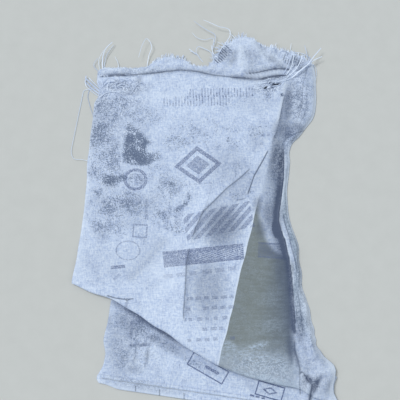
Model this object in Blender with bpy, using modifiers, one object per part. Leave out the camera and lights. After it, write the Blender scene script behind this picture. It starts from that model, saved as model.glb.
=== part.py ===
"""An empty woven polypropylene cement sack, torn open at its mouth and lying on the ground.

The sack is one circular-woven tube: a back layer on the ground and a front layer on it, joined along
both side folds. The tube's cut bottom is turned up over the front as a hem and sewn with one thread.
Higher up, the whole tube lies in a Z-shaped pleat, so its upper part overlaps its lower part and sticks
out past it on the left. The front rises to a long crease, falls to a trough, and ends in a soft roll
along the right side. The mouth is open, and the torn back layer reaches past the front there.

Metres, +Z up. The hem runs along X, and the mouth is at +Y. The origin is on the ground, under the middle
of the sack's box.
"""

import math

import bmesh
import bpy
from mathutils import Vector

MM = 0.001

# Cloth and how it stacks
cloth_thickness = 0.8 * MM
layer_clearance = 0.8 * MM  # free space between two layers that lie on each other
layer_pitch = cloth_thickness + layer_clearance
layers_in_pleat = 6

# The laid sack, and the strip turned up at its bottom
sack_width = 490 * MM
laid_length = 730 * MM  # from the hem to the middle of the front's torn top edge
pleat_height = 197 * MM  # from the hem to the left end of the pleat
pleat_shift = 86 * MM  # how far the pleat sets the upper part to the left
hem_depth = 24 * MM
stitch_above_hem_edge = 17 * MM
thread_diameter = 1.0 * MM
thread_clearance = 0.3 * MM
stitch_length = 9 * MM
stitch_sway = 0.8 * MM

# The folds
pleat_overlap = 36 * MM
pleat_slope_length = 70 * MM  # how far the upper part takes to come down to the ground behind the pleat
covered_margin = 30 * MM  # the lower front lies flat this far before the pleat covers it
side_fold_reach = 1.3 * MM  # how far a side fold reaches out
fold_bulge_share = 0.2  # where the upper front stands high, its fold reaches out further by this share

# Places across the sack are counted from the flat lower part's left side, which is 0, to its right side.
lower_left_edge = 0.0
lower_right_edge = lower_left_edge + sack_width
upper_left_corner = lower_left_edge - pleat_shift

# Lines across the sack: (place across it, height up the sack)
# The visible lower edge of the upper part, from the left corner to the right side.
pleat_edge = (
    (upper_left_corner, pleat_height),
    (upper_left_corner + 99 * MM, pleat_height - 24 * MM),
    (upper_left_corner + 223 * MM, pleat_height - 77 * MM),
    (upper_left_corner + 304 * MM, pleat_height - 114 * MM),
    (lower_right_edge - 167 * MM, pleat_height - 138 * MM),
    (lower_right_edge, pleat_height - 147 * MM),
)
# The front layer's torn top edge meets the back layer's at the side folds, and lies below it between them.
mouth_left_end = (upper_left_corner - 39 * MM, laid_length - 42 * MM)
mouth_right_end = (lower_right_edge - 117 * MM, laid_length + 54 * MM)
front_mouth = (
    mouth_left_end,
    (upper_left_corner + 84 * MM, laid_length - 28 * MM),
    (upper_left_corner + 152 * MM, laid_length - 5 * MM),
    (lower_right_edge - 242 * MM, laid_length - 2 * MM),
    (lower_right_edge - 169 * MM, laid_length + 16 * MM),
    mouth_right_end,
)
# The back layer's torn top edge, with its raised flap.
back_mouth = (
    mouth_left_end,
    (upper_left_corner + 12 * MM, laid_length - 24 * MM),
    (upper_left_corner + 175 * MM, laid_length),
    (lower_right_edge - 350 * MM, laid_length + 32 * MM),
    (lower_right_edge - 308 * MM, laid_length + 88 * MM),
    (lower_right_edge - 279 * MM, laid_length + 102 * MM),
    (lower_right_edge - 233 * MM, laid_length + 83 * MM),
    (lower_right_edge - 164 * MM, laid_length + 74 * MM),
    mouth_right_end,
)

# Lines along the sack: (height up the sack, place across it)
upper_left_edge = (
    (pleat_height - 37 * MM, upper_left_corner + 1 * MM),
    (pleat_height + 123 * MM, upper_left_corner - 5 * MM),
    (laid_length - 230 * MM, upper_left_corner - 21 * MM),
    (laid_length - 30 * MM, upper_left_corner - 39 * MM),
)
upper_right_edge = (
    (pleat_height - 147 * MM, lower_right_edge),
    (pleat_height - 99 * MM, lower_right_edge - 8 * MM),
    (pleat_height - 5 * MM, lower_right_edge - 66 * MM),
    (pleat_height + 53 * MM, lower_right_edge - 91 * MM),
    (pleat_height + 118 * MM, lower_right_edge - 100 * MM),
    (pleat_height + 230 * MM, lower_right_edge - 140 * MM),
    (laid_length - 210 * MM, lower_right_edge - 147 * MM),
    (laid_length - 145 * MM, lower_right_edge - 138 * MM),
    (laid_length - 80 * MM, lower_right_edge - 106 * MM),
    (laid_length + 4 * MM, lower_right_edge - 106 * MM),
    (laid_length + 70 * MM, lower_right_edge - 121 * MM),
)
upper_ridge = (
    (pleat_height - 147 * MM, lower_right_edge - 250 * MM),
    (pleat_height + 78 * MM, lower_right_edge - 225 * MM),
    (laid_length - 280 * MM, lower_right_edge - 204 * MM),
    (laid_length - 120 * MM, lower_right_edge - 184 * MM),
    (laid_length + 50 * MM, lower_right_edge - 171 * MM),
)
upper_trough_from_right_edge = (
    (pleat_height - 147 * MM, 70 * MM),
    (pleat_height - 67 * MM, 48 * MM),
    (pleat_height + 53 * MM, 20 * MM),
    (laid_length - 305 * MM, 14 * MM),
    (laid_length + 50 * MM, 26 * MM),
)
lower_ridge_from_right_edge = 186 * MM
lower_trough_from_right_edge = 69 * MM

# Heights of the front above the layers under it
ridge_height = (
    (pleat_height - 147 * MM, 8 * MM),
    (pleat_height - 47 * MM, 16 * MM),
    (pleat_height + 133 * MM, 20 * MM),
    (laid_length - 170 * MM, 16 * MM),
    (laid_length + 50 * MM, 11 * MM),
)
# The panel left of the crease
panel_height = ((pleat_height, 4 * MM), (pleat_height + 233 * MM, 9 * MM), (laid_length, 10 * MM))
panel_edge_share = 0.3  # the panel comes down to its left side fold over this share of it
trough_height = 1.5 * MM
roll_height = (
    (pleat_height - 147 * MM, 11 * MM),
    (pleat_height + 53 * MM, 10 * MM),
    (laid_length - 310 * MM, 4 * MM),
    (laid_length - 170 * MM, 3 * MM),
    (laid_length + 50 * MM, 6 * MM),
)
lower_front_height = 3 * MM
lower_left_slope_length = 80 * MM  # the lower front comes down to its side folds over these widths
lower_right_slope_length = 49 * MM
roll_crest_share = 0.5  # the roll's crest lies this far from the trough to the side fold
ridge_foot_share = 0.4  # the front starts to rise to the crease at this share of the panel

# How finely the cloth is cut
columns_in_stretch = (11, 4, 2, 2)  # left side to ridge, to trough, to roll crest, to right side
side_fold_steps = 3
turn_steps = 4
hem_rows = 2
lower_rows = 6
pleat_rows = 2
upper_rows = 15
thread_points_per_stitch = 3
meeting_tries = 6  # how often a column's crossing with a line is brought nearer


def smooth(t):
    """0 before 0, 1 after 1, and an even slope between."""
    t = min(max(t, 0.0), 1.0)
    return t * t * (3 - 2 * t)


def mix(a, b, t):
    return a + (b - a) * t


def along(points, at):
    """The value at a place on a soft curve through (place, value) points."""
    if at <= points[0][0]:
        return points[0][1]
    if at >= points[-1][0]:
        return points[-1][1]
    slopes = [(q[1] - p[1]) / (q[0] - p[0]) for p, q in zip(points, points[1:])]
    for i, (p, q) in enumerate(zip(points, points[1:])):
        if at > q[0]:
            continue
        run = q[0] - p[0]
        t = (at - p[0]) / run
        start = mix(slopes[i - 1], slopes[i], 0.5) if i else slopes[i]
        end = mix(slopes[i], slopes[i + 1], 0.5) if i + 1 < len(slopes) else slopes[i]
        return (
            (2 * t**3 - 3 * t**2 + 1) * p[1]
            + (t**3 - 2 * t**2 + t) * run * start
            + (3 * t**2 - 2 * t**3) * q[1]
            + (t**3 - t**2) * run * end
        )


def layer_height(order):
    """The height of a layer's middle where several lie on each other, counted from the ground."""
    return cloth_thickness / 2 + order * layer_pitch


def columns():
    """Where each column of points lies: (stretch, share of that stretch)."""
    made = []
    for stretch, count in enumerate(columns_in_stretch):
        made += [(stretch, step / count) for step in range(count)]
    return made + [(len(columns_in_stretch) - 1, 1.0)]


def guides(part, s):
    """The places across the sack of its left side, ridge, trough, roll crest and right side."""
    if part == "upper":
        left = along(upper_left_edge, s)
        right = along(upper_right_edge, s)
        ridge = along(upper_ridge, s)
        trough = right - along(upper_trough_from_right_edge, s)
    else:
        left = lower_left_edge
        right = lower_right_edge
        ridge = right - lower_ridge_from_right_edge
        trough = right - lower_trough_from_right_edge
    return left, ridge, trough, mix(trough, right, roll_crest_share), right


def place_across(part, column, s):
    stretch, share = column
    lines = guides(part, s)
    return mix(lines[stretch], lines[stretch + 1], share)


def meeting_height(line, column):
    """The height up the sack at which an upper column meets a line across the sack."""
    s = line[0][1]
    for _ in range(meeting_tries):
        s = along(line, place_across("upper", column, s))
    return s


def upper_rise(column, s):
    """How far the upper front stands above a sack that lies flat."""
    stretch, share = column
    ridge = along(ridge_height, s)
    roll = along(roll_height, s)
    if stretch == 0:
        panel = along(panel_height, s) * smooth(share / panel_edge_share)
        return mix(panel, ridge, smooth((share - ridge_foot_share) / (1 - ridge_foot_share)))
    if stretch == 1:
        return mix(ridge, trough_height, share)
    if stretch == 2:
        return mix(trough_height, roll, smooth(share))
    return roll * math.cos(share * math.pi / 2)


def lower_rise(column, s, covered_from):
    """How far the lower front stands above a sack that lies flat. It lies flat at the hem and the pleat."""
    from_left = place_across("lower", column, s) - lower_left_edge
    from_left_side = smooth(from_left / lower_left_slope_length)
    from_right_side = smooth((sack_width - from_left) / lower_right_slope_length)
    from_hem = smooth((s - hem_depth) / covered_margin)
    to_pleat = smooth((covered_from - s) / covered_margin)
    return lower_front_height * from_left_side * from_right_side * from_hem * to_pleat


def turn(middle, reach, low, high, step):
    """One step of a cloth's half turn from the layer height low to high, reaching out along the sack."""
    angle = math.pi * step / turn_steps
    return middle + reach * math.sin(angle), mix(low, high, (1 - math.cos(angle)) / 2)


def column_path(column):
    """The (part, share of the pleat, place up the sack, height) of each front and back point of a column,
    from the cut bottom edge, round the hem, along the lower part, through the pleat and up to the mouth."""
    fold = meeting_height(pleat_edge, column)
    covered_from = along(pleat_edge, place_across("lower", column, fold))
    inner_fold = covered_from + pleat_overlap
    # In a half turn of the flat tube, one layer spans its neighbour's place and the other goes round both.
    inner_reach = layer_pitch / 2
    outer_reach = layer_pitch + inner_reach
    heights = [layer_height(order) for order in range(layers_in_pleat)]
    front, back = [], []

    def add(part, blend, front_at, back_at):
        front.append((part, blend) + front_at)
        back.append((part, blend) + back_at)

    # The turned-up strip lies on the front, inside out, so its back layer is on top.
    hem_middle = outer_reach
    for row in range(hem_rows):
        s = mix(hem_depth, hem_middle, row / hem_rows)
        add("lower", 0, (s, heights[2]), (s, heights[3]))
    for step in range(turn_steps):
        add(
            "lower",
            0,
            turn(hem_middle, -inner_reach, heights[2], heights[1], step),
            turn(hem_middle, -outer_reach, heights[3], heights[0], step),
        )

    for row in range(lower_rows):
        s = mix(hem_middle, inner_fold, row / lower_rows)
        rise = lower_rise(column, s, covered_from)
        add("lower", 0, (s, heights[1] + rise), (s, heights[0]))

    # Under the upper part, the tube turns back on itself, and its front faces down.
    for step in range(turn_steps):
        add(
            "lower",
            0,
            turn(inner_fold, inner_reach, heights[1], heights[2], step),
            turn(inner_fold, outer_reach, heights[0], heights[3], step),
        )
    rise = upper_rise(column, fold)
    bulge = outer_reach + fold_bulge_share * rise
    fold_middle = fold + bulge
    for row in range(pleat_rows):
        s = mix(inner_fold, fold_middle, row / pleat_rows)
        add("pleat", row / pleat_rows, (s, heights[2]), (s, heights[3]))

    for step in range(turn_steps):
        add(
            "upper",
            1,
            turn(fold_middle, -bulge, heights[2], heights[5] + rise, step),
            turn(fold_middle, -inner_reach, heights[3], heights[4], step),
        )

    front_end = meeting_height(front_mouth, column)
    back_end = meeting_height(back_mouth, column)
    behind_pleat = fold + pleat_overlap + outer_reach + layer_pitch
    for row in range(upper_rows + 1):
        if row == 0:
            front_s = back_s = fold_middle
        else:
            front_s = mix(behind_pleat, front_end, (row - 1) / (upper_rows - 1))
            back_s = mix(behind_pleat, back_end, (row - 1) / (upper_rows - 1))
        down = smooth((back_s - behind_pleat) / pleat_slope_length)
        under = mix(heights[4], heights[0], down)
        over = under + layer_pitch + upper_rise(column, front_s)
        add("upper", 1, (front_s, over), (back_s, under))
    return front, back


def point(column, entry):
    part, blend, s, height = entry
    if part == "pleat":
        across = mix(place_across("lower", column, s), place_across("upper", column, s), blend)
    else:
        across = place_across(part, column, s)
    return Vector((across, s, height))


def side_fold(start, end, outwards):
    """The points between a front point and its back point, round the side of the tube."""
    middle = (start + end) / 2
    half = (start - end) / 2
    reach = Vector((outwards * side_fold_reach, 0, 0))
    angles = [math.pi * step / side_fold_steps for step in range(1, side_fold_steps)]
    return [middle + half * math.cos(angle) + reach * math.sin(angle) for angle in angles]


def tube_rings():
    """The sack's cross-sections, from its cut bottom to its mouth, each a closed ring of points."""
    paths = [(column, *column_path(column)) for column in columns()]
    rings = []
    for row in range(len(paths[0][1])):
        front = [point(column, front_path[row]) for column, front_path, _ in paths]
        back = [point(column, back_path[row]) for column, _, back_path in paths]
        right = side_fold(front[-1], back[-1], 1)
        left = side_fold(back[0], front[0], -1)
        rings.append(front + right + back[::-1] + left)
    return rings


def loft(name, rings, collection):
    """An open tube of faces between rings that follow each other."""
    mesh = bpy.data.meshes.new(name)
    shape = bmesh.new()
    rows = [[shape.verts.new(spot) for spot in ring] for ring in rings]
    for low, high in zip(rows, rows[1:]):
        for i in range(len(low)):
            j = (i + 1) % len(low)
            shape.faces.new((low[i], low[j], high[j], high[i]))
    bmesh.ops.recalc_face_normals(shape, faces=shape.faces)
    shape.to_mesh(mesh)
    shape.free()
    made = bpy.data.objects.new(name, mesh)
    collection.objects.link(made)
    return made


def middle_of_box(rings):
    spots = [spot for ring in rings for spot in ring]
    low = [min(spot[axis] for spot in spots) for axis in range(2)]
    high = [max(spot[axis] for spot in spots) for axis in range(2)]
    return Vector(((low[0] + high[0]) / 2, (low[1] + high[1]) / 2, 0))


def material(name, colour, roughness):
    made = bpy.data.materials.new(name)
    made.use_nodes = True
    shader = made.node_tree.nodes["Principled BSDF"]
    shader.inputs["Base Color"].default_value = (*colour, 1)
    shader.inputs["Roughness"].default_value = roughness
    shader.inputs["Metallic"].default_value = 0
    return made


def build_sack(collection, rings):
    """The woven tube, given its cloth's thickness on both sides of the drawn surface."""
    sack = loft("woven_sack", rings, collection)
    cloth = sack.modifiers.new("cloth", "SOLIDIFY")
    cloth.thickness = cloth_thickness
    cloth.offset = 0
    sack.data.materials.append(material("woven polypropylene", (0.62, 0.68, 0.76), 0.55))
    return sack


def build_thread(collection, origin):
    """The sewing thread on top of the hem, swaying from stitch to stitch."""
    lift = layer_height(3) + cloth_thickness / 2 + thread_clearance + thread_diameter / 2
    start = lower_left_edge + stitch_length
    end = lower_right_edge - stitch_length
    steps = round((end - start) / stitch_length) * thread_points_per_stitch
    curve = bpy.data.curves.new("hem_thread", "CURVE")
    curve.dimensions = "3D"
    curve.bevel_depth = thread_diameter / 2
    curve.bevel_resolution = 1
    curve.use_fill_caps = True
    line = curve.splines.new("POLY")
    line.points.add(steps)
    for step, spot in enumerate(line.points):
        sway = stitch_sway * math.sin(2 * math.pi * step / thread_points_per_stitch)
        across = mix(start, end, step / steps)
        spot.co = (across - origin.x, stitch_above_hem_edge + sway - origin.y, lift, 1)
    thread = bpy.data.objects.new("hem_thread", curve)
    collection.objects.link(thread)
    curve.materials.append(material("sewing thread", (0.72, 0.74, 0.76), 0.8))
    return thread


def main():
    for old in list(bpy.data.objects):
        bpy.data.objects.remove(old)
    collection = bpy.data.collections.new("cement_sack")
    bpy.context.scene.collection.children.link(collection)
    rings = tube_rings()
    origin = middle_of_box(rings)
    sack = build_sack(collection, [[spot - origin for spot in ring] for ring in rings])
    thread = build_thread(collection, origin)
    thread.parent = sack


main()
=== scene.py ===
# %% [markdown]
# # An empty cement sack, lying flat
#
# The real thing is one tube of woven plastic tape, sewn shut at its bottom and torn open at its top. It
# lies flat, with a pleat across it, a long crease, dirt, faded print and loose tapes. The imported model
# gives its place and size as a fixed frame, and this script gives it its fine shape and its finish.

# %% Load the frame
import math

import bmesh
import bpy
import numpy as np
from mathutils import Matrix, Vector
from mathutils.bvhtree import BVHTree


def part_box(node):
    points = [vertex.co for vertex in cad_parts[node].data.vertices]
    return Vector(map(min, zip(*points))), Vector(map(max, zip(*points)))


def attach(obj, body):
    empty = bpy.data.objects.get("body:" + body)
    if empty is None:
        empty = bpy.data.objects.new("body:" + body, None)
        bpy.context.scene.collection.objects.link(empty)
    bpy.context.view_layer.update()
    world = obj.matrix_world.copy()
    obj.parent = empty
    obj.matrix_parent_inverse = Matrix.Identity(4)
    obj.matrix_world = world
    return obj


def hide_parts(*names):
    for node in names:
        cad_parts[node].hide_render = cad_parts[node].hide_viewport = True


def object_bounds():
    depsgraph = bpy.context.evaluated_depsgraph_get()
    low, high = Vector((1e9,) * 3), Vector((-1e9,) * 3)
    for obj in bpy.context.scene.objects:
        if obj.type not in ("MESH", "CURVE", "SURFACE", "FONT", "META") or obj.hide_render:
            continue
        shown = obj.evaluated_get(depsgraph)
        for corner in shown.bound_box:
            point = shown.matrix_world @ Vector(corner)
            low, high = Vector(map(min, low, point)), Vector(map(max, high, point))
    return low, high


MM = 0.001

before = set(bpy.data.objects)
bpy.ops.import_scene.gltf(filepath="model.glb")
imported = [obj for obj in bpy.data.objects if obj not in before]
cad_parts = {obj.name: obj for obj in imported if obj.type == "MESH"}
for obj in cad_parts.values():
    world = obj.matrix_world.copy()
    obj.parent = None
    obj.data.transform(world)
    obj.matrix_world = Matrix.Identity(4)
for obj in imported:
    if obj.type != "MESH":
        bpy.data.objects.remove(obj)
cad_low, cad_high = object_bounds()
print("CAD box, mm:", [round(side / MM, 1) for side in cad_high - cad_low])

# %% [markdown]
# ## The camera comes first
#
# A picture can be rebuilt only from where it was taken. The photograph looks almost straight down, so the
# camera hangs above the sack and is turned a little about the upright axis. The same few numbers also turn
# a pixel of the photograph into a place on the ground, which is how creases and stains find their places.

# %% Camera and pixel places
photo_pixels = 400
focal_pixels = 608
sensor_width = 36
camera_elevation = math.radians(75)
camera_turn = math.radians(8)
camera_distance = 1.35
camera_aim = np.array([-27 * MM, 6.6 * MM, 0])


def rotated(x, y, angle):
    """Places or directions turned about the upright axis."""
    c, s = math.cos(angle), math.sin(angle)
    return c * x - s * y, s * x + c * y


def turned(x, y, z):
    """A direction of the unturned camera, turned with it."""
    return np.array([*rotated(x, y, camera_turn), z])


view_right = turned(1, 0, 0)
view_up = turned(0, math.sin(camera_elevation), math.cos(camera_elevation))
view_ahead = turned(0, math.cos(camera_elevation), -math.sin(camera_elevation))
camera_spot = camera_aim - camera_distance * view_ahead


def pixels_of(places):
    """The pixels at which points (rows of x, y, z) show in the photograph."""
    sight = places - camera_spot
    depth = sight @ view_ahead
    across = photo_pixels / 2 + focal_pixels * (sight @ view_right) / depth
    down = photo_pixels / 2 - focal_pixels * (sight @ view_up) / depth
    return np.stack([across, down], -1)


def place_of(pixel, height=0.0):
    """The point at a height above the ground that shows at a pixel of the photograph."""
    half = photo_pixels / 2
    sight = view_ahead + ((pixel[0] - half) * view_right - (pixel[1] - half) * view_up) / focal_pixels
    return camera_spot + sight * (height - camera_spot[2]) / sight[2]


camera = bpy.data.objects.new("camera", bpy.data.cameras.new("camera"))
camera.data.sensor_width = sensor_width
camera.data.lens = sensor_width * focal_pixels / photo_pixels
camera.location = camera_spot
camera.rotation_euler = (math.pi / 2 - camera_elevation, 0, camera_turn)
bpy.context.scene.collection.objects.link(camera)
bpy.context.scene.camera = camera
print("camera at", np.round(camera_spot, 3))

# %% [markdown]
# ## The laid sack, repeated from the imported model
#
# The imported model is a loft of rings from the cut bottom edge, round the hem, through the pleat and up to
# the mouth. Its faces could be split up here, but they are few and uneven. A finer loft along the same
# lines has the same shape, and leaves room for creases. Places across the sack count from the lower part's
# left side, and places up the sack count from the hem.

# %% Sizes of the laid sack
sack_width = 490 * MM
laid_length = 730 * MM
pleat_height = 197 * MM
upper_left_corner = -86 * MM
hem_depth = 24 * MM
layer_pitch = 1.6 * MM
ground_layer_height = 0.4 * MM
cloth_thickness = 0.4 * MM
layers_in_pleat = 6
pleat_overlap = 36 * MM
pleat_slope_length = 70 * MM
covered_margin = 30 * MM
side_fold_reach = 1.3 * MM
fold_bulge_share = 0.2
panel_edge_share = 0.3
ridge_foot_share = 0.4
roll_crest_share = 0.5
trough_height = 1.5 * MM
lower_front_height = 3 * MM
lower_left_slope_length = 80 * MM
lower_right_slope_length = 49 * MM
lower_ridge_from_right_edge = 186 * MM
lower_trough_from_right_edge = 69 * MM

thread_low, thread_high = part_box("hem_thread")
hem_left = (thread_low.x + thread_high.x) / 2 - sack_width / 2
hem_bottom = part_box("woven_sack")[0].y + ground_layer_height
print("lower left corner of the sack, mm:", round(hem_left / MM, 1), round(hem_bottom / MM, 1))

# %% Lines of the laid sack


def stops(first_from, second_from, *pairs):
    """The stops of a line: pairs in millimetres, counted from two named places."""
    return [(first_from + first * MM, second_from + second * MM) for first, second in pairs]


# across the sack, then up it
pleat_edge = stops(
    upper_left_corner, pleat_height,
    (0, 0), (99, -24), (223, -77), (304, -114), (409, -138), (576, -147),
)
front_mouth = stops(
    upper_left_corner, laid_length,
    (-39, -42), (18, -44), (84, -27), (152, -8), (334, -6), (407, 14), (459, 54),
)
back_mouth = stops(
    upper_left_corner, laid_length,
    (-39, -42), (3, -21), (75, -4), (95, 17), (146, 26), (178, 14), (224, 26), (238, 60), (268, 90),
    (297, 102), (343, 83), (412, 74), (459, 54),
)
# up the sack, then across it
upper_left_edge = stops(pleat_height, upper_left_corner, (-37, 1), (123, -5), (303, -21), (503, -39))
upper_right_edge = stops(
    pleat_height, sack_width,
    (-147, 0), (-99, -8), (-5, -66), (53, -91), (118, -100), (230, -140), (323, -147), (388, -138),
    (453, -106), (537, -106), (603, -121),
)
upper_ridge = stops(pleat_height, sack_width, (-147, -250), (78, -225), (253, -204), (413, -184), (583, -171))
upper_trough_from_right_edge = stops(pleat_height, 0, (-147, 70), (-67, 48), (53, 20), (228, 14), (583, 26))
# up the sack, then how high it stands
ridge_height = stops(pleat_height, 0, (-147, 8), (-47, 16), (133, 20), (363, 16), (583, 11))
panel_height = stops(pleat_height, 0, (0, 4), (233, 9), (533, 10))
roll_height = stops(pleat_height, 0, (-147, 11), (53, 10), (223, 4), (363, 3), (583, 6))
print("left end of the mouth, mm across and up:", [round(value / MM) for value in front_mouth[0]])

# %% [markdown]
# ## Soft curves and guide lines
#
# Each line above is a handful of points. Blender's own curves could carry them, but a cubic curve that is
# worked out for whole arrays at once keeps the script quick with tens of thousands of points.

# %% Curves
columns_front = (84, 32, 10, 10)
columns_back = (56, 20, 8, 8)
meeting_tries = 6


def smooth(t):
    """0 before 0, 1 after 1, and an even slope between."""
    t = np.clip(t, 0.0, 1.0)
    return t * t * (3 - 2 * t)


def mix(a, b, t):
    return a + (b - a) * t


def reach_along(points):
    """How far along a row of points each of them lies."""
    return np.concatenate([[0], np.cumsum(np.linalg.norm(np.diff(points, axis=0), axis=1))])


def along(points, at):
    """The values at an array of places on a soft curve through (place, value) points."""
    places, values = np.array(points, float).T
    slopes = np.diff(values) / np.diff(places)
    ends = np.concatenate([slopes[:1], (slopes[1:] + slopes[:-1]) / 2, slopes[-1:]])
    at = np.clip(at, places[0], places[-1])
    i = np.clip(np.searchsorted(places, at, side="right") - 1, 0, len(slopes) - 1)
    run = places[i + 1] - places[i]
    t = (at - places[i]) / run
    return (
        (2 * t**3 - 3 * t**2 + 1) * values[i]
        + (t**3 - 2 * t**2 + t) * run * ends[i]
        + (3 * t**2 - 2 * t**3) * values[i + 1]
        + (t**3 - t**2) * run * ends[i + 1]
    )


def columns(counts):
    """The stretch of each column of points, and its share of that stretch."""
    stretch = np.concatenate([np.full(count, i) for i, count in enumerate(counts)] + [[len(counts) - 1]])
    share = np.concatenate([np.arange(count) / count for count in counts] + [[1.0]])
    return stretch.astype(int), share


def guides(part, s):
    """The places across the sack of its left side, ridge, trough, roll crest and right side."""
    if part == "upper":
        left, right, ridge = (along(line, s) for line in (upper_left_edge, upper_right_edge, upper_ridge))
        trough = right - along(upper_trough_from_right_edge, s)
    else:
        left, right = np.zeros_like(s), np.full_like(s, sack_width)
        ridge, trough = right - lower_ridge_from_right_edge, right - lower_trough_from_right_edge
    return np.stack([left, ridge, trough, mix(trough, right, roll_crest_share), right])


def place_across(part, cols, s):
    stretch, share = cols
    lines = guides(part, s)
    pick = np.arange(len(stretch))
    return mix(lines[stretch, pick], lines[stretch + 1, pick], share)


def meeting_height(line, cols):
    """How far up the sack each upper column meets a line across the sack."""
    s = np.full(len(cols[0]), line[0][1])
    for _ in range(meeting_tries):
        s = along(line, place_across("upper", cols, s))
    return s


front_columns, back_columns = columns(columns_front), columns(columns_back)
print("columns, front and back:", len(front_columns[0]), len(back_columns[0]))

# %% [markdown]
# ## How high the cloth stands
#
# The upper front rises from its left side to the long crease, falls to a trough, and swells to a soft roll
# at the right. The lower front lies almost flat. A cloth simulation would lay soft folds where it liked,
# and this cloth is stiff. So the heights are given along a few lines, and blended between them.

# %% Rise of the two parts


def upper_rise(cols, s):
    """How far the upper front stands above a sack that lies flat."""
    stretch, share = cols
    ridge = along(ridge_height, s)
    roll = along(roll_height, s)
    panel = along(panel_height, s) * smooth(share / panel_edge_share)
    to_ridge = mix(panel, ridge, smooth((share - ridge_foot_share) / (1 - ridge_foot_share)))
    to_trough = mix(ridge, trough_height, share)
    to_crest = mix(trough_height, roll, smooth(share))
    to_side = roll * np.cos(share * math.pi / 2)
    return np.choose(stretch, [to_ridge, to_trough, to_crest, to_side])


def lower_rise(cols, s, covered_from):
    """How far the lower front stands above a sack that lies flat."""
    from_left = place_across("lower", cols, s)
    sides = smooth(from_left / lower_left_slope_length)
    sides = sides * smooth((sack_width - from_left) / lower_right_slope_length)
    ends = smooth((s - hem_depth) / covered_margin) * smooth((covered_from - s) / covered_margin)
    return lower_front_height * sides * ends


print("crest of the crease above the ground, mm:", round(max(value for _, value in ridge_height) / MM))

# %% [markdown]
# ## One column's way through the sack
#
# A column starts at the cut edge, turns round the bottom, runs up the lower part, doubles back twice in the
# pleat, and runs up to the mouth. Every step of that way is one row of points, for the front and the back.
# The layers could also be made one by one and joined, but one grid through all of them is one whole cloth,
# as the real sack is.

# %% Paths of all columns
turn_steps = 5
hem_rows = 5
lower_rows = 36
pleat_rows = 3
upper_rows = 142
layer_heights = [ground_layer_height + order * layer_pitch for order in range(layers_in_pleat)]
inner_reach = layer_pitch / 2
outer_reach = layer_pitch + inner_reach


def turn(middle, reach, low, high):
    """The steps of a cloth's half turn between two heights, reaching out along the sack."""
    for angle in math.pi * np.arange(turn_steps) / turn_steps:
        yield middle + reach * math.sin(angle), mix(low, high, (1 - math.cos(angle)) / 2)


def sack_rows(cols, front):
    """The rows of points of one side of the tube: (part, share of the pleat, places up the sack, heights)."""
    ones = np.ones(len(cols[0]))
    laid_level, folded_level = layer_heights[1 if front else 0], layer_heights[2 if front else 3]
    reach = inner_reach if front else outer_reach
    fold = meeting_height(pleat_edge, cols)
    covered_from = along(pleat_edge, place_across("lower", cols, fold))
    inner_fold = covered_from + pleat_overlap
    rows = []

    def add(part, share, s, height):
        rows.append((part, share, ones * s, ones * height))

    for row in range(hem_rows):
        add("hem", 0, mix(hem_depth, outer_reach, row / hem_rows), folded_level)
    for s, height in turn(outer_reach, -reach, folded_level, laid_level):
        add("hem", 0, s, height)
    for row in range(lower_rows):
        s = mix(outer_reach, inner_fold, row / lower_rows)
        add("lower", 0, s, laid_level + (lower_rise(cols, s, covered_from) if front else 0))
    for s, height in turn(inner_fold, reach, laid_level, folded_level):
        add("lower", 0, s, height)

    rise = upper_rise(cols, fold)
    bulge = outer_reach + fold_bulge_share * rise
    fold_middle = fold + bulge
    for row in range(pleat_rows):
        add("pleat", row / pleat_rows, mix(inner_fold, fold_middle, row / pleat_rows), folded_level)
    high_level = layer_heights[5] + rise if front else layer_heights[4]
    for s, height in turn(fold_middle, -(bulge if front else inner_reach), folded_level, high_level):
        add("upper", 1, s, height)

    mouth = meeting_height(front_mouth if front else back_mouth, cols)
    behind_pleat = fold + pleat_overlap + outer_reach + layer_pitch
    for row in range(upper_rows + 1):
        s = mix(fold_middle, mouth, row / upper_rows)
        height = mix(layer_heights[4], layer_heights[0], smooth((s - behind_pleat) / pleat_slope_length))
        add("upper", 1, s, height + (layer_pitch + upper_rise(cols, s) if front else 0))
    return rows


def grid_of(cols, rows):
    """The rows as one grid of points in the frame's own place: an array of rows, columns and x, y, z."""
    grid = []
    for part, share, s, height in rows:
        if part == "pleat":
            across = mix(place_across("lower", cols, s), place_across("upper", cols, s), share)
        else:
            across = place_across("upper" if part == "upper" else "lower", cols, s)
        grid.append(np.stack([across + hem_left, s + hem_bottom, height], -1))
    return np.array(grid)


front_rows, back_rows = sack_rows(front_columns, True), sack_rows(back_columns, False)
front_grid, back_grid = grid_of(front_columns, front_rows), grid_of(back_columns, back_rows)
print("front grid", front_grid.shape, "back grid", back_grid.shape)
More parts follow.
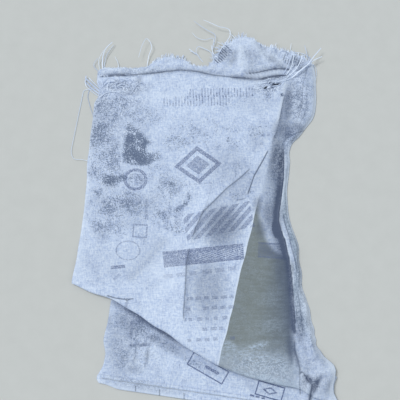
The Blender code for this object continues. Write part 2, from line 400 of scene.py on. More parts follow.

# %% [markdown]
# ## Creases that the photograph shows
#
# Woven plastic doesn't drape in soft folds like cotton. It keeps every sharp crease, and the panels between
# creases stay almost flat. So each crease is a line with a crest that falls off on both sides at its own
# rate: a quick fall on one side makes a step, and a negative height makes a furrow. The lines are drawn in
# photograph pixels. They could be sculpted by hand too, but a line in a table can be moved by a pixel, and
# the dark line of painted shade in a crease is drawn later along the same line.

# %% Named creases
# line in pixels, height in mm, how many pixels it takes to fall off on its left if drawn downwards (or below
# it) and on its other side, and how dark a line of painted shade is drawn along it, from 0 to 1
roll_foot = (
    (286, 141), (283.5, 150), (283.8, 165), (283.4, 180), (281, 200), (279, 212), (278.7, 222), (281, 231),
    (284.7, 240), (287, 250), (289, 260), (291, 272), (292.8, 290), (294, 305), (294.8, 322), (296, 343),
)
named_creases = {
    "from_the_ridge": (((269, 149), (262, 162), (254, 176), (246.5, 198)), 1.5, 7, 1.6, 0.85),
    "its_short_branch": (((246.5, 198), (241, 199.5), (234, 200.5)), -0.6, 2, 2, 0.5),
    "long_slant": (
        ((253, 166), (240, 178), (227, 188), (212, 203), (203, 212), (196, 227), (190, 245)),
        1.6, 10, 1.8, 0.6,
    ),
    "slant_fork": (((212, 184), (208, 200), (203, 212)), 0.6, 3, 1.5, 0.3),
    "plumb_line": (((190, 245), (186.5, 262), (185.5, 285), (183.5, 312), (184, 326)), 2.0, 13, 1.8, 0.6),
    "pleat_corner": (((106, 295), (115, 298), (126, 299.5), (136, 298.5)), -1.3, 3, 2, 0.75),
    "corner_tuck": (((127, 299), (126, 309)), 0.9, 2, 4, 0.3),
    "flap_fold": (((292, 70), (278, 68.5), (266, 70.5), (255, 73), (243, 73.5)), -0.4, 5, 5, 0.9),
    "mouth_gap": (
        ((98, 78), (112, 76), (125, 75.5), (150, 73.5), (180, 70), (197, 71.5), (213, 75), (235, 77.5),
         (257, 79.5), (264, 79)),
        0, 1, 1, 0.6,
    ),
    "mouth_gap_right": (((259, 78.8), (265, 78), (271, 76.5), (278, 75.5), (290, 75.5)), 0, 1, 1, 1.0),
    "top_tuck": (((151, 77), (149, 84), (147, 95)), 1.4, 2, 5, 0.2),
    "roll_foot": (roll_foot, 2.6, 0.7, 9, 0.7),
    "right_seam": (
        ((294, 338), (295, 350), (298, 360), (299.8, 370), (299.5, 385), (301, 400)), -2.6, 2, 3, 0.6,
    ),
    "right_star": (
        ((309, 402), (311, 393), (312, 385), (307.5, 380), (304, 374), (300, 369)), -2.8, 3, 1.5, 0.8,
    ),
    "star_branch": (((311, 385), (317, 383), (323, 376)), -1.8, 2, 2, 0.4),
    "right_swell": (((305, 344), (315, 351), (322, 361), (325, 372)), 2.2, 5, 3, 0),
    "right_dent": (((325, 371), (329, 384), (329, 398)), -1.8, 3, 2, 0.3),
    "roll_dent": (((299, 262), (300, 276), (298, 290)), -1.6, 2, 3, 0.2),
    "roll_wave": (((303, 300), (304, 316), (309, 330)), 1.6, 3, 3, 0),
    "roll_crease": (
        ((298, 276), (295, 260), (291.5, 247), (289, 236), (284.5, 222), (283, 208)), -1.0, 2, 2, 0.6,
    ),
    "roll_crease_low": (((303, 335), (301.5, 318), (299.5, 302), (297, 288)), -0.9, 3, 2, 0.5),
    "hem_tuck_left": (((135.5, 384.5), (135.6, 392)), 0, 1, 1, 0.75),
    "hem_tuck": (((159.5, 388), (159.6, 397)), 0, 1, 1, 0.7),
    "hem_tuck_right": (((184, 392), (184.1, 401)), 0, 1, 1, 0.6),
    "bulge_crease": (((308, 66), (303, 84), (302, 104), (296, 126)), -1.2, 3, 2, 0.35),
    "bulge_swell": (((304, 58), (305, 84), (304, 110), (298, 128), (289, 148)), 6.0, 7, 8, 0),
    "bulge_tuck": (((312, 128), (300, 132), (289, 136), (283, 143)), -2.0, 3, 2, 0.5),
    "second_ridge": (((270, 156), (267, 172), (264, 188), (260, 202)), 1.2, 3, 4, 0),
    "wedge_fold": (((272, 250), (268, 290), (262, 330)), 0.8, 6, 8, 0),
    "wedge_slant": (((248, 352), (262, 346), (278, 338)), 1.0, 3, 5, 0),
}


def line_distance(x, y, line):
    """The distance of points from a line, the side they lie on, and how far along it they are."""
    best, side, share = np.full(x.shape, np.inf), np.zeros(x.shape), np.zeros(x.shape)
    line = np.array(line, float)
    reach = reach_along(line)
    for i, start in enumerate(line[:-1]):
        length = np.linalg.norm(line[i + 1] - start)
        ahead = (line[i + 1] - start) / length
        dx, dy = x - start[0], y - start[1]
        run = np.clip(dx * ahead[0] + dy * ahead[1], 0, length)
        gap = np.hypot(dx - run * ahead[0], dy - run * ahead[1])
        nearer = gap < best
        best = np.where(nearer, gap, best)
        side = np.where(nearer, np.sign(ahead[0] * dy - ahead[1] * dx), side)
        share = np.where(nearer, (reach[i] + run) / reach[-1], share)
    return best, side, share


def crease(x, y, line, height, fall, other_fall, fade=0.15):
    """The height that a crease along a line adds, fading out at both ends."""
    gap, side, share = line_distance(x, y, line)
    ends = smooth(share / fade) * smooth((1 - share) / fade)
    return height * np.exp(-gap / np.where(side > 0, fall, other_fall)) * ends


print("named creases:", len(named_creases))

# %% [markdown]
# ## Small crumples everywhere
#
# Between the named creases a used sack is covered in faint ones: short straight folds left by handling. A
# noise texture would give round dents instead. So a random generator lays folds down one by one, from a
# fixed seed, so that every run makes the same sack. Slow waves keep the big panels from looking like
# cardboard, and a few spots, such as the torn corners, are crumpled harder.

# %% Random folds, slow waves and crumpled spots
# how many, from which pixel to which, lengths in pixels, heights in mm, falls in pixels
random_folds = (
    (170, (60, 40), (345, 470), (12, 60), (0.15, 0.8), (1.5, 9)),
    (34, (212, 36), (312, 74), (8, 30), (0.8, 2.3), (0.9, 3.5)),
    (22, (296, 335), (340, 400), (8, 26), (0.5, 1.8), (1, 4)),
    (18, (92, 78), (152, 98), (8, 24), (0.4, 1.3), (1, 3)),
    (12, (284, 70), (314, 140), (12, 30), (0.4, 1.2), (1.5, 5)),
)
spot_edge, spot_core = 1.15, 0.25
fold_directions = (0.0, 1.3, 1.75, 2.4)
fold_chances = (0.3, 0.15, 0.4, 0.15)
# centre and half size in pixels, height in mm, wave length in pixels
crumpled_spots = (
    ((122, 88), (32, 11), 1.3, 5),
    ((300, 90), (18, 40), 1.1, 7),
    ((262, 56), (48, 20), 2.0, 8),
    ((170, 66), (80, 12), 0.9, 6),
    ((314, 375), (24, 44), 2.2, 11),
    ((304, 300), (12, 70), 1.6, 12),
    ((288, 190), (8, 60), 1.0, 9),
    ((262, 352), (36, 24), 0.7, 9),
    ((150, 380), (60, 14), 0.6, 9),
    ((279, 168), (12, 30), 0.8, 6),
)


def waves(x, y, seed, count, shortest, longest):
    """A sum of slow waves in all directions, from about -1 to 1."""
    rng = np.random.default_rng(seed)
    total = np.zeros(x.shape)
    for _ in range(count):
        angle, phase = rng.uniform(0, 2 * math.pi, 2)
        length = rng.uniform(shortest, longest)
        total += np.sin(2 * math.pi * (x * math.cos(angle) + y * math.sin(angle)) / length + phase)
    return total / math.sqrt(count)


def spot_share(x, y, centre, half_size, degrees=0.0):
    """1 in the middle of a soft oval spot and 0 outside it."""
    across, down = rotated(x - centre[0], y - centre[1], -math.radians(degrees))
    gap = np.hypot(across / half_size[0], down / half_size[1])
    return smooth((spot_edge - gap) / (spot_edge - spot_core))


def random_fold_lines(seed):
    rng = np.random.default_rng(seed)
    folds = []
    for count, low, high, lengths, heights, falls in random_folds:
        for _ in range(count):
            middle = rng.uniform(low, high)
            angle = rng.choice(fold_directions, p=fold_chances) + rng.normal(0, 0.22)
            half = rng.uniform(*lengths) / 2 * np.array([math.cos(angle), math.sin(angle)])
            height = rng.uniform(*heights) * rng.choice([-1, 1])
            folds.append(((middle - half, middle + half), height, rng.uniform(*falls), rng.uniform(*falls)))
    return folds


fold_lines = random_fold_lines(4)
fold_fade = 0.4
slow_wave_height = 0.4


def relief_at(pixels):
    """The relief of the cloth, in metres, at points given by their pixels."""
    x, y = pixels[..., 0], pixels[..., 1]
    total = slow_wave_height * waves(x, y, seed=11, count=12, shortest=30, longest=110)
    for line, height, fall, other_fall in fold_lines:
        total += crease(x, y, line, height, fall, other_fall, fade=fold_fade)
    for centre, half_size, height, length in crumpled_spots:
        hard = waves(x, y, seed=12, count=9, shortest=length * 0.6, longest=length * 2)
        total += height * hard * spot_share(x, y, centre, half_size)
    for line, height, fall, other_fall, _ in named_creases.values():
        total += crease(x, y, line, height, fall, other_fall)
    return total * MM


print("random folds:", len(fold_lines), "crumpled spots:", len(crumpled_spots))

# %% [markdown]
# ## Put the relief on the two layers
#
# The front may only move where nothing lies on it, and never into the layer below. So the relief fades out
# at the side folds, in the hem and under the pleat. The back layer gets relief only beyond the front's torn
# edge, where it shows as the raised flap. A Displace modifier would move all layers alike, and push them
# through each other.

# %% Relief
kinds = np.array([row[0] for row in front_rows])
first_upper = len(front_rows) - upper_rows - 1
side_room_columns = (14, 6)
least_gap = 0.5 * MM
rise_share_to_spare = 0.8
lower_relief_share = 0.5
open_part_fade = 12 * MM
open_past_pleat = 8 * MM
flap_fade = 12 * MM
flap_base, flap_relief_share, flap_softness = 2 * MM, 1.7, 1.2 * MM
flap_lift, lift_starts, lift_fade = 5 * MM, 20 * MM, 60 * MM


def past_line(grid, line):
    """How far up the sack points lie past a line across it."""
    return grid[..., 1] - hem_bottom - along(line, grid[..., 0] - hem_left)


column_index = np.arange(front_grid.shape[1])
from_side = np.minimum(column_index / side_room_columns[0], column_index[::-1] / side_room_columns[1])
room = np.zeros(front_grid.shape[:2])
room[first_upper:] = smooth(from_side)
lower = slice(hem_rows + turn_steps, hem_rows + turn_steps + lower_rows)
past_hem = front_grid[lower, :, 1] - hem_bottom - hem_depth
open_part = smooth((open_past_pleat - past_line(front_grid[lower], pleat_edge)) / open_part_fade)
room[lower] = lower_relief_share * open_part * smooth(past_hem / open_part_fade) * smooth(from_side)

relief = relief_at(pixels_of(front_grid))
lowest = np.full(front_grid.shape[:2], -least_gap)
rise = upper_rise(front_columns, front_grid[first_upper:, :, 1] - hem_bottom)
lowest[first_upper:] -= rise_share_to_spare * rise
relief_kept = np.maximum(relief, lowest) * room
front_grid[..., 2] += relief_kept
turned_rows = slice(first_upper - turn_steps, first_upper)
front_grid[turned_rows, :, 2] += np.linspace(0, 1, turn_steps)[:, None] * relief_kept[first_upper]

past_front = past_line(back_grid, front_mouth)
past_front[:first_upper] = -1
flap = flap_base + flap_relief_share * relief_at(pixels_of(back_grid))
flap += flap_lift * smooth((past_front - lift_starts) / lift_fade)
never_below = (flap + np.hypot(flap, flap_softness)) / 2
back_grid[..., 2] += never_below * smooth(past_front / flap_fade)
print("relief of the front, mm:", round(relief.min() / MM, 1), "to", round(relief.max() / MM, 1))

# %% [markdown]
# ## Torn and wandering edges
#
# A torn edge of woven tape isn't a smooth line: each tape broke at its own length. Cutting the mesh along a
# ragged line would leave slivers, so whole columns of points are made longer or shorter. The side folds
# wander a little too. Both layers are pushed sideways by the same slow waves, so that they stay on each
# other.

# %% Torn edges
tear_depth = 1.8 * MM
torn_rows = 3
# the share of the tear left where the edge is straight, and how many pixels it takes to fade
tear_share_left, tear_fade = 0.12, 6
wander = 1.1 * MM
wander_fade = 60 * MM
# centre and half size in pixels, and how far the cloth is pulled there along X and Y, in mm
edge_pulls = (
    ((103, 359), (20, 17), 9, 0), ((306, 303), (16, 18), 6, 0), ((327, 352), (16, 13), -13, 0),
    ((292, 148), (10, 14), -6, 0), ((303, 258), (9, 14), -5, 0), ((93, 392), (24, 13), 7, 8),
    ((322, 339), (13, 13), -9, 0), ((96, 93), (9, 10), 8, 0), ((324, 396), (27, 14), 0, -14),
    ((337, 386), (9, 8), -8, 0), ((341, 376), (8, 7), -5, 0),
)
# the same for the back layer alone, which stands out past the front at the upper left
back_pulls = (((100, 73), (17, 8), -3, 11),)


def pulled(places, pulls=edge_pulls):
    """Pulls points of the cloth, and of what lies on it, to where the photograph shows them."""
    pixels = pixels_of(places)
    shift = np.zeros_like(places)
    for centre, half_size, *pull in pulls:
        share = spot_share(pixels[..., 0], pixels[..., 1], centre, half_size)
        shift[..., :2] += share[..., None] * np.array(pull) * MM
    return places + shift


def wandered(grid):
    """Moves the cloth with slow waves, more the further it lies from the hem."""
    x, y = grid[..., 0] / MM, grid[..., 1] / MM
    fade = wander * smooth((grid[..., 1] - hem_bottom - hem_depth) / wander_fade)
    shift = np.stack([waves(x, y, seed, count=8, shortest=50, longest=200) * fade for seed in (21, 22)], -1)
    grid[:] = pulled(grid)
    grid[..., :2] += shift


def torn(grid, seed, straight_from, straight_to):
    """Moves each column's end by its own length, but hardly between two pixel columns."""
    tear = np.random.default_rng(seed).uniform(-tear_depth, tear_depth, grid.shape[1])
    tear[[0, 1, -2, -1]] = 0
    end = pixels_of(grid[-1])[:, 0]
    straight = smooth((end - straight_from) / tear_fade) * smooth((straight_to - end) / tear_fade)
    tear *= mix(1, tear_share_left, straight)
    for row in range(torn_rows):
        grid[-1 - row, :, 1] += tear * (1 - row / torn_rows)


for grid, *how in ((front_grid, 31, 138, 272), (back_grid, 32, 0, 0)):
    wandered(grid)
    torn(grid, *how)
back_grid[:] = pulled(back_grid, back_pulls)
print("torn rows:", torn_rows)

# %% [markdown]
# ## One closed tube of cloth
#
# Front columns, a side fold, back columns and the other side fold make one ring, and the rings in a row
# make the tube. Small rips near the right end of the mouth are cells left out. A Boolean could cut them, but
# a hole in a weave has square corners, as the cells have. The Solidify modifier gives the cloth its
# thickness, and its inner face a finish of its own.

# %% Mesh of the sack
side_fold_steps = 3
weave_angle = math.radians(11)
# centre and reach in pixels
rips = (
    ((265.8, 87.4), 1.5), ((270, 82.2), 1.2), ((274.2, 84.4), 1.9), ((278.6, 84), 1.5), ((283, 86.8), 1.0),
)


def side_fold(start, end, outwards):
    """The points between two layers, round the side of the tube, for all rows at once."""
    middle, half = (start + end) / 2, (start - end) / 2
    reach = np.array([outwards * side_fold_reach, 0, 0])
    steps = [math.pi * step / side_fold_steps for step in range(1, side_fold_steps)]
    return np.stack([middle + half * math.cos(a) + reach * math.sin(a) for a in steps], 1)


right_fold = side_fold(front_grid[:, -1], back_grid[:, -1], 1)
left_fold = side_fold(back_grid[:, 0], front_grid[:, 0], -1)
tube = np.concatenate([front_grid, right_fold, back_grid[:, ::-1], left_fold], 1)
row_count, ring_count = tube.shape[:2]
front_count = front_grid.shape[1]
points = tube.reshape(-1, 3)
point_pixels = pixels_of(points)

index = np.arange(row_count * ring_count).reshape(row_count, ring_count)
after = np.roll(index, -1, axis=1)
quads = np.stack([index[:-1], after[:-1], after[1:], index[1:]], -1).reshape(-1, 4)
quad_kind = kinds[quads[:, 0] // ring_count]
quad_on_front = quads[:, 0] % ring_count < front_count - 1
whole = np.ones(len(quads), bool)
for centre, reach in rips:
    near = np.linalg.norm(point_pixels[quads].mean(1) - centre, axis=1) < reach
    whole &= ~(near & quad_on_front & (quad_kind == "upper"))
print("cloth points:", len(points), "cells:", len(quads), "left out:", int((~whole).sum()))

# %% [markdown]
# ## Where the dirt, the painted shade and the painted highlights lie
#
# Every point of the cloth keeps a few facts for its finish: the pixel at which the photograph shows it, its
# place on the weave, the column of the sack that it lies in, how dirty it is, and how much painted shade and
# painted highlight it gets. Soft spots say how dense the grime is, and the finish turns density into specks.
# For a line of painted shade in a crease each point keeps its signed distance from the line, so that the
# finish can draw it finer than the mesh. A painted picture could hold all of this, but it would need a file,
# and would blur from close up.

# %% Grime
# column and row of its centre, half width and height, all in pixels, its turn in degrees, and its strength
upper_grime_and_shade = (
    (134, 145, 20, 28, -10, 0.5), (150, 157, 15, 9, 0, 0.6), (110, 180, 15, 10, 0, 0.95),
    (122, 178, 9, 6, 0, 0.85), (100, 194, 10, 9, 20, 0.65), (134, 180, 16, 12, 0, 0.6),
    (106, 165, 30, 44, 0, 0.62), (97, 134, 22, 28, 0, 0.75), (112, 110, 38, 28, 0, 0.62),
    (140, 116, 34, 16, 0, 0.5), (120, 205, 40, 27, 0, 0.64), (112, 226, 26, 22, 0, 0.5),
    (176, 142, 22, 13, 0, 0.6), (168, 186, 26, 24, 0, 0.5), (205, 130, 60, 22, 0, 0.4),
    (232, 145, 32, 13, -10, 0.4), (177, 210, 9, 5, -22, 0.75), (185, 204, 5, 4, -40, 0.8),
    (189, 196, 3, 9, -8, 0.75), (176, 227, 15, 14, 0, 0.6), (257, 131, 14, 11, -15, 0.62),
    (172, 184, 9, 5, 30, 0.8), (168, 214, 26, 12, 0, 0.55), (98, 226, 12, 12, 0, 0.6),
    (300, 100, 18, 32, 10, 0.6), (290, 138, 13, 16, 30, 0.7), (270, 182, 12, 30, 15, 0.4),
    (228, 140, 3, 5, -15, 1.0), (130, 88, 26, 10, 0, 0.35), (240, 180, 30, 30, 0, 0.35),
    (140, 196, 66, 66, 0, 0.38), (306, 320, 14, 60, -8, 0.4), (240, 100, 50, 14, 0, 0.35),
    # the spots at (269.5, 82.5), (272.5, 86.8) and (281.5, 95) are painted shadow in the small rips, not
    # grime
    (266, 96, 10, 9, 0, 0.5), (269.5, 82.5, 3.5, 2.4, 20, 1.25), (272.5, 86.8, 2.6, 2.2, 0, 1.2),
    (281.5, 95, 4, 3, 0, 1.1), (236, 68, 14, 5, 8, 0.6), (262, 66, 16, 4, -6, 0.45),
    (292, 60, 10, 7, 15, 0.6), (224, 60, 6, 9, 35, 0.5),
)
# on the lower part: grime, and in the first three spots along the pleat's edge grime with painted shadow
lower_grime_and_shade = (
    (128, 318, 26, 24, 20, 0.5), (146, 330, 30, 15, 25, 0.6), (168, 345, 26, 10, 28, 0.5),
    (120, 352, 16, 24, 0, 0.45), (200, 366, 42, 10, 22, 0.4), (312, 372, 16, 28, 0, 0.6),
    (140, 378, 40, 12, 10, 0.35), (136, 345, 12, 20, 0, 0.5),
)
# the same six numbers for wrinkles that are too small for the mesh, painted as lines of shade and highlight
ruffled_spots = (
    (122, 87, 30, 9, 0, 1.0), (103, 100, 12, 18, 0, 0.7), (128, 102, 24, 9, 0, 0.6),
    (108, 182, 13, 10, 0, 0.6), (112, 130, 22, 30, 0, 0.3), (268, 88, 22, 8, 0, 0.8),
    (300, 98, 15, 42, 0, 0.6), (294, 64, 16, 10, 0, 0.8), (226, 54, 13, 13, 0, 0.6),
    (262, 56, 44, 18, 0, 0.35), (316, 372, 24, 36, 0, 0.22), (304, 385, 7, 13, 0, 0.3),
    (300, 300, 10, 64, -6, 0.45), (262, 368, 46, 18, 10, 0.4), (135, 352, 34, 28, 0, 0.35),
    (172, 190, 34, 22, 0, 0.3), (140, 385, 46, 6, 10, 0.4), (280, 160, 12, 30, 5, 0.35),
    (289, 226, 9, 40, -8, 0.4), (140, 71, 44, 5, 0, 0.5),
)
print("grimy spots:", len(upper_grime_and_shade) + len(lower_grime_and_shade), "wrinkled spots:", len(ruffled_spots))

# %% Painted shade
# the same six numbers for a bluish painted shade: in hollows, under folds and on slopes that face away from
# the lamp, with a few faint ones that darken the cloth among the grime
shades = (
    (277, 162, 11, 36, 6, 0.9), (272, 214, 14, 24, 0, 0.75), (282, 268, 10, 34, -6, 0.5),
    (260, 176, 9, 26, 14, 0.22), (258, 205, 8, 12, 0, 0.55), (263, 228, 10, 15, 0, 0.5),
    (276.5, 229, 6, 13, -8, 2.2), (222, 226, 26, 30, 20, 0.72), (208, 288, 24, 44, 0, 0.5),
    (102, 262, 32, 30, 0, 0.16), (240, 188, 14, 28, 28, 0.32), (228, 168, 32, 28, 0, 0.26),
    (140, 205, 26, 14, 0, 0.24), (104, 202, 14, 12, 0, 0.26), (100, 232, 13, 14, 0, 0.2),
    (128, 223, 24, 8, 0, 0.16), (258, 138, 14, 18, 10, 0.2), (262, 70, 26, 2.5, -4, 0.3),
    (96, 125, 8, 36, 6, 0.3), (110, 205, 34, 30, 0, 0.16), (225, 54, 8, 9, -40, 0.5),
    (252, 56, 5, 15, 8, 0.3), (296, 62, 10, 7, 0, 0.4), (273, 60, 12, 4.5, 38, 0.45),
    (234, 57, 4, 13, 14, 0.35), (262, 47, 10, 5, 35, 0.3), (288, 104, 7, 28, 5, 0.85),
    (284, 130, 15, 15, 20, 0.75), (296, 128, 11, 9, -20, 0.7), (304, 72, 9, 9, 0, 0.3),
    (306, 104, 6, 30, 0, 0.2), (300, 262, 6, 30, -8, 0.2), (299, 326, 6.5, 26, -6, 0.65),
    (276, 77.2, 14, 2.8, -5, 1.1), (117, 83, 5, 4, 30, 0.7), (138.5, 84, 5, 13, 5, 0.45),
    (128, 94, 14, 2.5, 4, 0.4), (291, 347, 5.5, 24, -4, 0.75), (315, 386, 5.5, 13, 24, 1.3),
    (309, 379.5, 4.5, 10, -42, 1.4), (310.5, 396, 3, 9, 8, 0.95), (318, 378, 10, 7, -30, 0.55),
    (320, 384, 16, 18, 20, 0.4), (312, 362, 20, 26, 0, 0.3), (304, 385, 6, 10, -12, 0.55),
    (270, 250.5, 15, 8, 4, 0.35), (330, 392, 8, 8, 0, 0.2), (305, 352, 4, 12, 0, 0.4),
    (130, 324, 26, 12, 32, 0.6), (168, 345, 30, 8, 28, 0.5), (120, 345, 20, 40, 0, 0.38),
    (131, 330, 3, 12, 8, 0.7), (135, 355, 2.5, 14, 6, 0.5), (127, 356, 2.5, 12, 6, 0.45),
    (147, 356, 2.5, 14, 10, 0.6), (138, 345, 16, 2.5, -4, 0.6), (143, 323, 12, 3.5, 26, 0.75),
    (154, 338, 8, 6, 20, 0.7), (108, 320, 7, 20, -8, 0.35), (133, 368, 12, 8, 0, 0.35),
    (120, 140, 40, 50, 0, 0.16), (258, 104, 34, 14, 0, 0.1), (206, 366, 30, 8, 24, 0.22),
    (268, 390, 44, 9, 14, 0.2), (150, 388, 50, 5, 8, 0.22), (122, 88, 28, 8, 0, 0.12),
    (105, 112, 14, 26, 0, 0.25),
)
# line, darkness of its painted shade, and how many pixels it reaches to each side, as for the creases
one_sided_shades = (
    (roll_foot[:12], 2.4, 6.5, 0.2), (roll_foot[7:], 2.0, 5, 0.3),
    (((98, 77.5), (112, 75.5), (125, 75), (134, 74.5)), 1.3, 0.3, 1.8),
    (((134, 74.5), (150, 73), (180, 70), (200, 71.5)), 0.5, 0.3, 1.5),
    (((296, 343), (299, 355), (300, 367), (300, 380)), 0.6, 3, 2),
    (((286, 89), (283, 100), (279.5, 118), (277, 130), (270, 146)), 0.9, 0.3, 7),
    (((243, 73), (256, 72.5), (266, 70.5), (278, 68), (292, 70)), 1.1, 1.2, 1.8),
    (((226, 76.5), (242, 78.5), (257, 79.5), (268, 78), (276, 76), (291, 76.5)), 1.2, 1.3, 1.8),
    (((293.5, 336), (295, 350), (298, 360), (300, 371)), 1.2, 2.6, 1.2),
    (((136, 74.5), (150, 73.5), (180, 70.5), (197, 72), (213, 75.5), (228, 77.5)), 0.9, 0.9, 1.4),
    (((170, 236), (150, 259), (138, 272), (125, 284)), 0.3, 12, 4),
    (((253, 166), (227, 188), (203, 211), (196, 227), (189, 247)), 0.5, 0.4, 9),
    (((189, 247), (186, 262), (185, 298), (183, 322)), 0.45, 0.4, 10),
)
print("shades:", len(shades) + len(one_sided_shades))

# %% Edges that catch the light, soil and the dark patch
# line, brightness of its painted highlight, and how many pixels it reaches to each side
lit_edges = (
    (roll_foot[1:13], 1.3, 0.2, 1.5),
    (((288, 50), (300, 56), (311, 60), (314, 76), (315, 96), (313, 116), (309, 124),
      (297, 141)), 0.9, 1.5, 1.5),
    (((301, 285), (305, 303), (308, 318), (311, 332), (316, 346)), 1.0, 2.5, 3),
    (((288, 80), (285, 92), (281.5, 108), (277, 124), (273, 136)), 0.7, 1.5, 0.3),
    (((98, 90), (93, 118), (90, 152), (87, 186), (82, 230), (77, 270), (73.4, 285)), 0.5, 1.5, 3),
    (((243, 76), (256, 76), (268, 74), (282, 72)), 0.6, 3, 3),
    (((222, 50), (234, 41.5), (247, 38.5), (262, 47)), 0.5, 2, 4),
    (((242, 44), (240, 56), (242, 68)), 0.7, 3, 3), (((256, 46), (268, 55), (284, 64)), 0.6, 3, 3),
    (((101, 386), (118, 387.5), (135, 389.5), (159, 394), (186, 399)), 0.6, 3, 3),
    (((298, 100), (300, 112), (298, 122)), 0.5, 4, 3), (((262, 160), (264, 180), (263, 196)), 0.3, 3, 3),
    (((332, 362), (334, 376), (333, 386)), 0.6, 2, 2), (((101, 69.5), (125, 68.5), (150, 66.5)), 0.5, 1.5, 2),
    (((148, 96), (165, 97), (186, 96)), 0.5, 1, 2), (((301, 373), (304, 384), (306.5, 394)), 1.0, 1.2, 1.2),
    (((303, 370), (310, 377), (317, 379)), 0.6, 1.2, 1), (((110, 90.5), (124, 89.5), (137, 91)), 0.8, 1, 1),
    (((146, 76), (146, 86), (144, 95)), 0.5, 1.5, 1.5), (((314, 396), (324, 391), (333, 392)), 0.6, 2, 2),
    (((150, 262), (162, 275), (172, 290)), 0.35, 10, 14),
)
# the right-hand edge of the soil beside the long crease: pixel row, pixel column
soil_edge = (
    (160, 260), (190, 259), (214, 260), (230, 264), (243, 269), (252, 277), (259, 290), (300, 294),
    (330, 293), (400, 297),
)
soil_fade, soil_past_edge = 8, 0.4
soil_begins, soil_fades, faded_soil = (172, 214), (335, 385), 0.5
# dust on that soil, with the same six numbers as the grime
dust_spots = (
    (262, 362, 56, 15, 12, 0.65), (264, 384, 60, 16, 12, 1.0), (230, 346, 14, 6, 28, 0.55),
    (224, 352, 8, 14, 20, 0.5), (257, 346, 16, 4.5, -16, 0.75), (268, 326, 24, 9, -10, 0.2),
    (268, 300, 14, 8, 10, 0.12),
)
# the outline of the dark patch, in pixels
dark_patch = (
    (126.5, 123), (129, 121.5), (137.5, 127), (143, 135), (148, 139), (153.5, 142), (152, 144.5),
    (147.5, 146), (147.5, 151), (154, 152), (161, 150), (163, 159), (153.5, 162.5), (148, 166), (136, 166),
    (123.5, 164), (122, 157), (123.5, 145), (125, 133),
)
patch_softness = 5.0
patch_rows, patch_top_and_bottom = (122, 148), (0.8, 0.96)
patch_columns, patch_right = (141, 161), 0.68
print("lit edges:", len(lit_edges), "corners of the dark patch:", len(dark_patch))

# %% From spots and lines to dirt and painted shade at every point
# how far a crease's line of painted shade reaches and fades, how it fades at its ends, and its faintest and
# darkest
shade_line_reach, shade_line_fade = 3.0, 1.8
shade_line_starts, shade_line_ends = 0.06, 0.12
faintest_shade_line, darkest_shade_line = 0.3, 0.9
pixel_across, pixel_down = point_pixels.T


def densest(table):
    """The strongest of a table's spots at every point of the cloth."""
    return np.max([spot_share(pixel_across, pixel_down, s[:2], s[2:4], s[4]) * s[5] for s in table], 0)


def strongest(table, fade):
    """The strongest of a table's lines at every point of the cloth."""
    return np.max([crease(pixel_across, pixel_down, line, *rest, fade=fade) for line, *rest in table], 0)


def between(values, start, end):
    """0 before start, 1 after end, and an even slope between."""
    return smooth((values - start) / (end - start))


def region_share(x, y, outline, softness):
    """1 inside a region of the photograph and 0 outside, soft at its edge."""
    corners = np.array(outline, float)
    inside = np.zeros(x.shape, bool)
    for (ax, ay), (bx, by) in zip(corners, np.roll(corners, -1, 0)):
        crosses = (ay > y) != (by > y)
        inside ^= crosses & (x < ax + (y - ay) * (bx - ax) / (by - ay if by != ay else 1))
    gap = line_distance(x, y, np.vstack([corners, corners[:1]]))[0]
    return smooth(0.5 + np.where(inside, gap, -gap) / softness)


def crease_shade_lines(x, y):
    """The signed distance in pixels from the nearest crease with a line of painted shade, and how dark it is
    there.
    """
    nearest = np.full(x.shape, np.inf)
    distance, dark = np.zeros(x.shape), np.zeros(x.shape)
    for line, _, _, _, line_shade in named_creases.values():
        if line_shade > 0:
            gap, side, share = line_distance(x, y, line)
            here = mix(faintest_shade_line, darkest_shade_line, line_shade) * np.clip((shade_line_reach - gap) / shade_line_fade, 0, 1)
            here = here * smooth(share / shade_line_starts) * smooth((1 - share) / shade_line_ends)
            distance = np.where(gap < nearest, gap * side, distance)
            nearest = np.minimum(gap, nearest)
            dark = np.maximum(dark, here)
    return distance, dark


is_upper = np.repeat(kinds == "upper", ring_count)
on_back = np.arange(len(points)) % ring_count >= front_count
patch = region_share(pixel_across, pixel_down, dark_patch, patch_softness)
patch *= mix(*patch_top_and_bottom, between(pixel_down, *patch_rows))
patch *= mix(1, patch_right, between(pixel_across, *patch_columns))
grime_and_shade = np.where(is_upper, np.maximum(densest(upper_grime_and_shade), patch), densest(lower_grime_and_shade))
soil = smooth((along(soil_edge, pixel_down) - pixel_across) / soil_fade + soil_past_edge)
soil *= between(pixel_down, *soil_begins) * mix(1, faded_soil, between(pixel_down, *soil_fades))
print("dirty points:", int((grime_and_shade > 0.3).sum()), "soiled points:", int((soil > 0.3).sum()))

# %% Painted shade, painted light and the facts of every point
pleat_shadow = 18 * MM
deepest_pleat, pleat_shades = ((150, 324), (56, 44)), (0.25, 1.25)
mouth_shadow, mouth_shade = 7 * MM, 0.25
rips_spot, rips_shade = ((274, 86), (20, 9)), 2.0
line_fade, lit_fade = 0.15, 0.08

